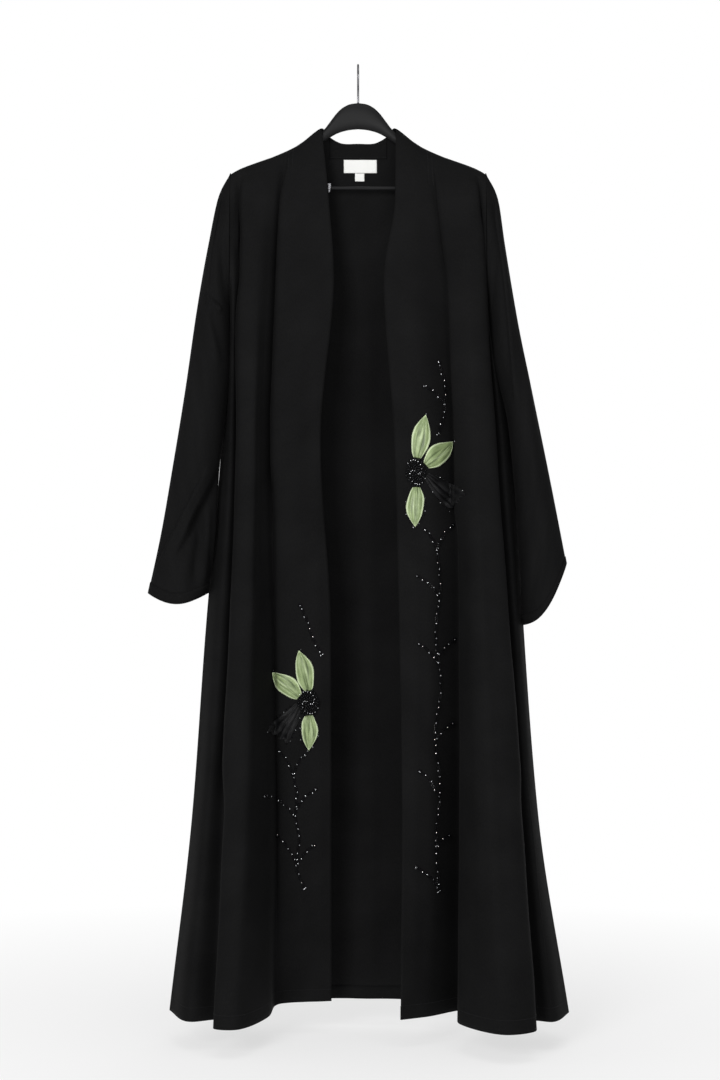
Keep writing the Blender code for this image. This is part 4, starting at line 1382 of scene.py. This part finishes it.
def make_organza_fan(flower, petal):
    """A gathered fan of black organza: pleats that open from the root and crumple at the end, with painted highlights
    on the pleat ridges and facets.
    """
    x, y, z, s, t = petal_ground(flower, petal, FAN_OUTLINE, 54, 64)
    k = petal.seed
    pleat = (0.25 + 0.75 * smooth_step(s * 1.6)) * np.abs(np.sin(t * 1.9 * pi + 0.5 * np.sin(2 * s + k)))
    ruffle = np.sin(s * 17 + t * 6 + k) * np.sin(t * 7 - s * 5 + k)
    crumple = 1.28 * ruffle * smooth_step((s - 0.45) / 0.4)
    ragged = 2.2 * np.sin(t * 9 + k) * smooth_step((s - 0.86) / 0.14)
    fold_back = 3.0 * smooth_step((s - 0.78) / 0.2) * smooth_step((t + 0.2) / 0.8)
    body = petal.cup * 0.45 * (1 - 0.8 * t**2) * np.sin(pi * np.clip(s, 0.06, 1))
    lift = body + PLEAT_HEIGHT * pleat + crumple + fold_back
    turn = radians(petal.turn)
    # The rim mask is a painted highlight: lighter on the pleat ridges and on scattered crumpled facets.
    painted_facet_highlights = np.sin(4 * t + 2.5 * s + k) * np.sin(7 * s - 3 * t + 2 * k)
    return sew_petal(flower, petal, x - sin(turn) * ragged, y, z + cos(turn) * ragged, lift, ORGANZA_WALL,
                     rim=0.45 * pleat**3 + 0.75 * smooth_step(painted_facet_highlights * 1.3))


def make_bead_disc(flower):
    """The flower's centre: a low padded oval, close-set with cut beads and a few crystals."""
    half_x, half_z = flower.bead_width / 2 - 1, flower.bead_height / 2 - 1

    def spread_out(share, turn):
        x = flower.centre_x + half_x * share * np.cos(turn)
        return x, flower.centre_z + half_z * share * np.sin(turn)

    probe_x, probe_z = np.array(DISC_PROBES).T * [[half_x], [half_z]]
    lowest = ground_depths(flower.panel, flower.centre_x + probe_x, flower.centre_z + probe_z).min()
    share = np.linspace(0, 1, 20)[:, None]
    x, z = spread_out(share, (2 * pi * np.arange(40) / 40)[None])
    dome = DISC_DOME * (1 - share**2) * np.ones_like(x)
    grid = np.stack([x, lowest - DISC_REST - dome, z], axis=-1)
    pad = surface_mesh(f"{flower.side}_bead_pad", grid, finishes["black_crepe"], ring=True, flip=True)
    thicken(pad, PAD_WALL, offset=-1.0)
    finish_piece(pad, "black_crepe", (f"{flower.side}_flower_centre",))

    index = np.arange(DISC_BEADS)
    share = np.sqrt((index + 0.6) / DISC_BEADS)
    angle = index * pi * (3 - sqrt(5)) + 0.12 * np.sin(index * 1.7)
    x, z = spread_out(share, angle)
    y = lowest - DISC_REST - DISC_DOME * (1 - share**2) - DISC_BEAD_LIFT + 0.35 * np.sin(index * 2.9)
    places = np.stack([x, y, z], axis=1)
    lean = 0.35 * share
    facing = unit(np.stack([lean * np.cos(angle), -np.ones(DISC_BEADS), lean * np.sin(angle)], axis=1))
    along = spun(index * 2.1)
    sizes = DISC_BEAD_SIZE * (0.92 + 0.12 * np.sin(index * 4.1))[:, None] * np.array([1, 1, 0.85])
    bead = ball_template(2)
    scatter(f"{flower.side}_disc_beads", bead, places, along, facing, sizes, "jet_beads", "black_beads")
    bright = index % 4 == 1
    lifted = places + facing * DISC_CRYSTAL_LIFT
    scatter(f"{flower.side}_disc_crystals", bead, lifted[bright], along[bright], facing[bright],
            sizes[bright] * DISC_CRYSTAL_SHARE, "crystal_beads", "black_beads")


def spun(turn):
    """Directions that lie flat on the front, each turned by its own angle."""
    return np.stack([np.cos(turn), np.zeros(len(turn)), np.sin(turn)], axis=1)


def sew_beads(name, found, size, along, template, finish, smooth=False):
    """Beads at places found on the cloth, raised off it by part of their size."""
    places, facing = np.array(found).transpose(1, 0, 2)
    sizes = (size, size, size * BEAD_FLATNESS)
    scatter(name, template, places + facing * size * BEAD_LIFT, along, facing, sizes, finish,
            "black_beads", smooth)


def sprig_lines(sprig):
    """The stem and its branches as lines of x, z points, each from its root to its tip."""
    stem_z = np.linspace(sprig.stem[0][1], sprig.stem[-1][1], STEM_POINTS)
    knots = [(z, x) for x, z in sprig.stem]
    lines = [np.stack([smooth_curve(knots, stem_z), stem_z], axis=1)]
    for branch in sprig.branches:
        root = float(smooth_curve(knots, branch.z))
        s = np.linspace(0, 1, BRANCH_POINTS)
        x = root + branch.side * branch.reach * (0.75 * s + 0.25 * s**2)
        z = branch.z + branch.rise * (1.3 * s - 0.3 * s**2) + 1.5 * np.sin(pi * s)
        lines.append(np.stack([x, z], axis=1))
    return lines


def make_sprig(sprig):
    """Seed beads along every line, a crystal every few beads, and a cluster at each tip."""
    seeds, crystals, clusters = [], [], []
    for n, line in enumerate(sprig_lines(sprig)):
        along = lengths_along(line)
        for i in range(2 if n else 0, int(along[-1] / SEED_PITCH) + 1):
            at = min(i * SEED_PITCH, along[-1])
            x, z = points_at(at, along, line)
            if i % CRYSTAL_EVERY == 3:
                crystals.append((x + 0.9 * sin(i * 2.3 + n), z + 2.4 * sin(i * 1.1 + n)))
                continue
            ahead_x, ahead_z = points_at(at + 1, along, line) - (x, z)
            aside = SEED_STAGGER * (-1) ** i * (0.8 + 0.3 * sin(i * 2.3 + n))
            seeds.append((x - aside * ahead_z, z + aside * ahead_x))
        tip = line[0] if n == 0 else line[-1]
        for k in range(TIP_BEADS):
            turn = k * 2 * pi / TIP_BEADS + 0.6 * n
            clusters.append((tip[0] + TIP_RADIUS * cos(turn), tip[1] + TIP_RADIUS * sin(turn)))
        crystals.append((tip[0], tip[1]))
        if n == 0:
            foot = line[-1]
            crystals += [(foot[0] - 1.6, foot[1] - 1.5), (foot[0] + 1.6, foot[1] + 0.4)]
    for kind, spots, size, finish in (
        ("seeds", seeds, SEED_SIZE, "jet_beads"),
        ("tips", clusters, SEED_SIZE * 1.12, "jet_beads"),
        ("crystals", crystals, CRYSTAL_SIZE, "crystal_beads"),
    ):
        round_ones = kind == "crystals"
        found = [high_ground(sprig.panel, x, z) for x, z in spots]
        template = ball_template(2 if round_ones else 1)
        along = spun(np.arange(len(spots)) * 1.3)
        sew_beads(f"{sprig.name}_{kind}", found, size, along, template, finish, round_ones)


def make_petal_edge_beads(flower):
    """Small beads sewn along the edges of the lower and dark petals, and at the others' tips."""
    seeds, crystals = [], []
    for petal in flower.petals:
        turn = radians(petal.turn)
        outline = PETAL_OUTLINE if petal.cloth == "green_satin" else FAN_OUTLINE
        only_tip = petal.name in ("upper", "side")
        for n, s in enumerate(np.linspace(*EDGE_BEAD_PLACES)):
            if only_tip and s < 0.95:
                continue
            reach = petal.length * s * 1.02
            for side in (-1, 1):
                half = side * (petal.width / 2 * float(smooth_curve(outline, s)) + EDGE_BEAD_GAP)
                x = flower.centre_x + petal.base_x - sin(turn) * reach + cos(turn) * half
                z = flower.centre_z + petal.base_z + cos(turn) * reach + sin(turn) * half
                (crystals if (n + side) % 3 == 0 else seeds).append((x, z))
    for kind, spots, size, finish in (
        ("seeds", seeds, SEED_SIZE, "jet_beads"),
        ("crystals", crystals, CRYSTAL_SIZE * 0.8, "crystal_beads"),
    ):
        found = [ground_at(flower.panel, x, z) for x, z in spots]
        along = np.tile(np.array([1.0, 0.0, 0.2]), (len(spots), 1))
        sew_beads(f"{flower.side}_petal_{kind}", found, size, along, ball_template(1), finish)


# ---------------------------------------------------------------- hanger

def make_hanger_body():
    """The hump and arms as one smooth moulding of rounded section."""
    reach = HANGER[-1].x
    xs = reach * np.sin(np.linspace(-pi / 2, pi / 2, HANGER_COLUMNS))
    columns = {
        name: smooth_curve([(section.x, getattr(section, name)) for section in HANGER], abs(xs))
        for name in ("top", "bottom", "half_thickness")
    }
    turn = (2 * pi * np.arange(HANGER_AROUND) / HANGER_AROUND)[None]
    along_y = np.sign(np.sin(turn)) * abs(np.sin(turn)) ** HANGER_ROUNDING
    along_z = np.sign(np.cos(turn)) * abs(np.cos(turn)) ** HANGER_ROUNDING
    close = np.sqrt(np.clip((reach + 0.01 - abs(xs)) / 3.0, 0.02, 1))[:, None]
    middle = ((columns["top"] + columns["bottom"]) / 2)[:, None]
    half = ((columns["top"] - columns["bottom"]) / 2)[:, None] * close
    y = columns["half_thickness"][:, None] * close * along_y
    grid = np.stack([xs[:, None] * np.ones_like(y), y, middle + half * along_z], axis=-1)
    obj = surface_mesh("moulded_hanger", grid, finishes["hanger_plastic"], ring=True)
    close_ends(obj)
    return finish_piece(obj, "hanger_plastic", ("hanger_body",))


def make_round_wire(name, points, radius, finish, replaced):
    """A smooth wire with a rounded tip at each end."""
    points = np.array(points, float)
    along = lengths_along(points)
    length = along[-1]
    tip = np.linspace(0, 1, WIRE_TIP_SECTIONS) * radius
    middle = np.linspace(radius, length - radius, WIRE_SECTIONS)
    at = np.concatenate([tip[:-1], middle, length - radius + tip[1:]])
    line = points_at(at, along, points)
    tangent = unit(np.gradient(line, axis=0))
    runs_across = abs(tangent[len(line) // 2, 0]) > 0.9
    side = np.tile(np.array([0.0, 1.0, 0.0] if runs_across else [1.0, 0.0, 0.0]), (len(line), 1))
    across = unit(np.cross(tangent, side))
    side = unit(np.cross(across, tangent))
    from_end = np.minimum(at, length - at)
    size = radius * np.sqrt(np.clip(1 - (1 - np.clip(from_end / radius, 0, 1)) ** 2, 0.01, 1))
    turn = (2 * pi * np.arange(WIRE_AROUND) / WIRE_AROUND)[None, :, None]
    grid = line[:, None] + size[:, None, None] * (
        np.cos(turn) * side[:, None] + np.sin(turn) * across[:, None]
    )
    obj = surface_mesh(name, grid, finishes[finish], ring=True)
    close_ends(obj)
    return finish_piece(obj, finish, (replaced,))


def make_hook():
    reach = HOOK_INNER_RADIUS + HOOK_WIRE_RADIUS
    centre_z = -HOOK_INNER_RADIUS
    start, end = (radians(turn) for turn in HOOK_TURN)
    points = [(0, 0, HANGER[0].top - 1)]
    points += [(0, -forward, centre_z - reach - under) for forward, under in HOOK_NECK]
    for turn in np.linspace(start, end, HOOK_POINTS):
        points.append((0, -reach * cos(turn), centre_z + reach * sin(turn)))
    return make_round_wire("wire_hook", points, HOOK_WIRE_RADIUS, "hook_steel", "hanger_hook")


def make_bar():
    left = [(inward - BAR_HALF_LENGTH, 0, z) for inward, z in BAR_CORNER]
    right = [(BAR_HALF_LENGTH - inward, 0, z) for inward, z in reversed(BAR_CORNER)]
    return make_round_wire("trouser_bar", left + right, BAR_RADIUS, "hanger_plastic", "hanger_bar")


def make_bar_clip():
    """A small sprung clip in front of the bar, with a raised grip."""
    rows, columns = CLIP_GRID
    s = np.linspace(0, 1, rows)[:, None]
    t = np.linspace(-1, 1, columns)[None]
    heights = [(CLIP_WIDTHS[0][0] - above, half) for above, half in CLIP_WIDTHS]
    drop = (CLIP_WIDTHS[0][0] - CLIP_WIDTHS[-1][0]) * s
    half = smooth_curve(heights, drop)
    x = CLIP_X + half * t
    z = BAR_Z + CLIP_WIDTHS[0][0] - drop + 0 * t
    grip = 0.35 * (np.sin(s * 26) > 0) * (np.abs(t) < 0.7) * (s > 0.55)
    y = -BAR_RADIUS - CLIP_GAP - 0.5 * (1 - t**2) - grip
    obj = surface_mesh("bar_grip", np.stack([x, y, z], axis=-1), finishes["hook_steel"])
    thicken(obj, CLIP_WALL)
    return finish_piece(obj, "hook_steel", ("bar_clip",))


# ---------------------------------------------------------------- stage

def make_floor_finish():
    """A pale floor that turns to plain white further out, so that no horizon shows."""
    material = bpy.data.materials.new("pale_floor")
    material.use_nodes = True
    tree = material.node_tree
    shader = tree.nodes["Principled BSDF"]
    shader.inputs["Base Color"].default_value = FLOOR_COLOUR
    shader.inputs["Roughness"].default_value = 0.9
    glow = add_node(tree, "ShaderNodeEmission")
    glow.inputs["Color"].default_value = (1, 1, 1, 1)
    place = add_node(tree, "ShaderNodeTexCoord").outputs["Object"]
    length = add_node(tree, "ShaderNodeVectorMath", operation="LENGTH")
    tree.links.new(place, length.inputs[0])
    far = math_node(tree, "MULTIPLY_ADD", spread(tree, length.outputs["Value"], 0.4, 1.6), 0.35, 0.65)
    mix = add_node(tree, "ShaderNodeMixShader")
    tree.links.new(far, mix.inputs["Fac"])
    tree.links.new(shader.outputs["BSDF"], mix.inputs[1])
    tree.links.new(glow.outputs["Emission"], mix.inputs[2])
    tree.links.new(mix.outputs["Shader"], tree.nodes["Material Output"].inputs["Surface"])
    return material


def make_stage():
    """A pale floor just under the hem, soft lights and a plain white surround."""
    bm = bmesh.new()
    bmesh.ops.create_circle(bm, cap_ends=True, segments=96, radius=FLOOR_RADIUS)
    mesh = bpy.data.meshes.new("floor")
    bm.to_mesh(mesh)
    bm.free()
    mesh.materials.append(make_floor_finish())
    floor = bpy.data.objects.new("floor", mesh)
    floor.location.z = FLOOR_Z
    bpy.context.scene.collection.objects.link(floor)
    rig.stage(floor)

    world = bpy.data.worlds.new("white_surround")
    bpy.context.scene.world = world
    world.use_nodes = True
    tree = world.node_tree
    background = tree.nodes["Background"]
    background.inputs["Color"].default_value = (1, 1, 1, 1)
    seen = add_node(tree, "ShaderNodeLightPath").outputs["Is Camera Ray"]
    strength = math_node(tree, "MULTIPLY_ADD", seen, 1 - SURROUND_LIGHT, SURROUND_LIGHT)
    tree.links.new(strength, background.inputs["Strength"])

    for light in LIGHTS:
        data = bpy.data.lights.new(light.name, "AREA")
        data.energy = light.power
        data.size = light.size
        obj = bpy.data.objects.new(light.name, data)
        obj.location = light.place
        aim = Vector(LIGHTS_AIM) - Vector(light.place)
        obj.rotation_euler = aim.to_track_quat("-Z", "Y").to_euler()
        bpy.context.scene.collection.objects.link(obj)


def make_camera():
    camera = bpy.data.cameras.new("camera")
    camera.lens = CAMERA_LENS
    obj = bpy.data.objects.new("camera", camera)
    obj.location = CAMERA_PLACE
    obj.rotation_euler = (pi / 2, 0, 0)
    bpy.context.scene.collection.objects.link(obj)
    bpy.context.scene.camera = obj
    bpy.context.scene.view_settings.view_transform = "Standard"


# ---------------------------------------------------------------- the cloak

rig.load()
cad_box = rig.bounds()
make_camera()

cloak = bpy.data.collections.new("abaya_cloak")
bpy.context.scene.collection.children.link(cloak)
groups = {
    "crepe_grain": make_crepe_grain(),
    "cloth_mottle": make_cloth_mottle(),
    "thread_lines": make_thread_lines(),
    "scuffs": make_scuffs(),
}
finishes = {
    "black_crepe": make_crepe("black_crepe"),
    "green_satin": make_satin("green_satin"),
    "black_organza": make_organza("black_organza"),
    "label_tape": make_tape("label_tape"),
    "black_thread": make_thread("black_thread"),
    "pale_thread": make_thread("pale_thread"),
    "jet_beads": make_beads("jet_beads", 0.0),
    "crystal_beads": make_beads("crystal_beads", 1.0),
    "hanger_plastic": make_plastic("hanger_plastic"),
    "hook_steel": make_steel("hook_steel"),
}
surfaces = {}

panels = {
    "front_left": make_panel("front_left", FRONT_LEFT, False, ("last",), 0.4, False),
    "front_right": make_panel("front_right", FRONT_RIGHT, False, ("last",), 1.9, True),
    "back": make_panel("back", BACK, True, ("first", "last"), 3.1, False),
    "sleeve_left": make_sleeve("sleeve_left", SLEEVE_LEFT, 4.4, True, False),
    "sleeve_right": make_sleeve("sleeve_right", SLEEVE_RIGHT, 5.6, False, True),
}
inner_back_tree = ground_tree(surfaces["back"].inner, False)
hems = {name: make_turned_hem(name + "_turned_hem", name, depth) for name, depth in TURN_UPS}
make_stitch_rows()
make_tuck_stitches()
neck_pieces = make_neck_pieces()

petals = []
for flower in FLOWERS:
    make_bead_disc(flower)
    make_petal_edge_beads(flower)
    for petal in flower.petals:
        make_petal = make_satin_petal if petal.cloth == "green_satin" else make_organza_fan
        petals.append((petal, flower.panel, make_petal(flower, petal)))
for sprig in SPRIGS:
    make_sprig(sprig)

make_hanger_body()
make_hook()
make_bar()
make_bar_clip()

for panel_name, piece in panels.items():
    width, length, area = CUTS[panel_name]
    is_sleeve = panel_name.startswith("sleeve")
    rests_on = ["cloth_front_left", "cloth_back"] if is_sleeve else ["hanger_body"]
    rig.sheet(piece, flat=(width, length), held="hung", rests_on=rests_on, area=area,
             with_pieces=[hems[panel_name]])
for piece_name, piece in neck_pieces.items():
    width, length, area = CUTS[piece_name]
    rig.sheet(piece, flat=(width, length), held="hung", rests_on=["cloth_back"], area=area)
for petal, panel, piece in petals:
    width, length, area = CUTS[petal.cloth]
    held = "gathered" if petal.cloth == "black_organza" else "laid"
    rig.sheet(piece, flat=(width, length), held=held, rests_on=["cloth_" + panel], area=area)

make_stage()
with open("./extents.json", "w") as sizes:
    json.dump([[list(map(float, corner)) for corner in box] for box in (cad_box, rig.bounds())], sizes)
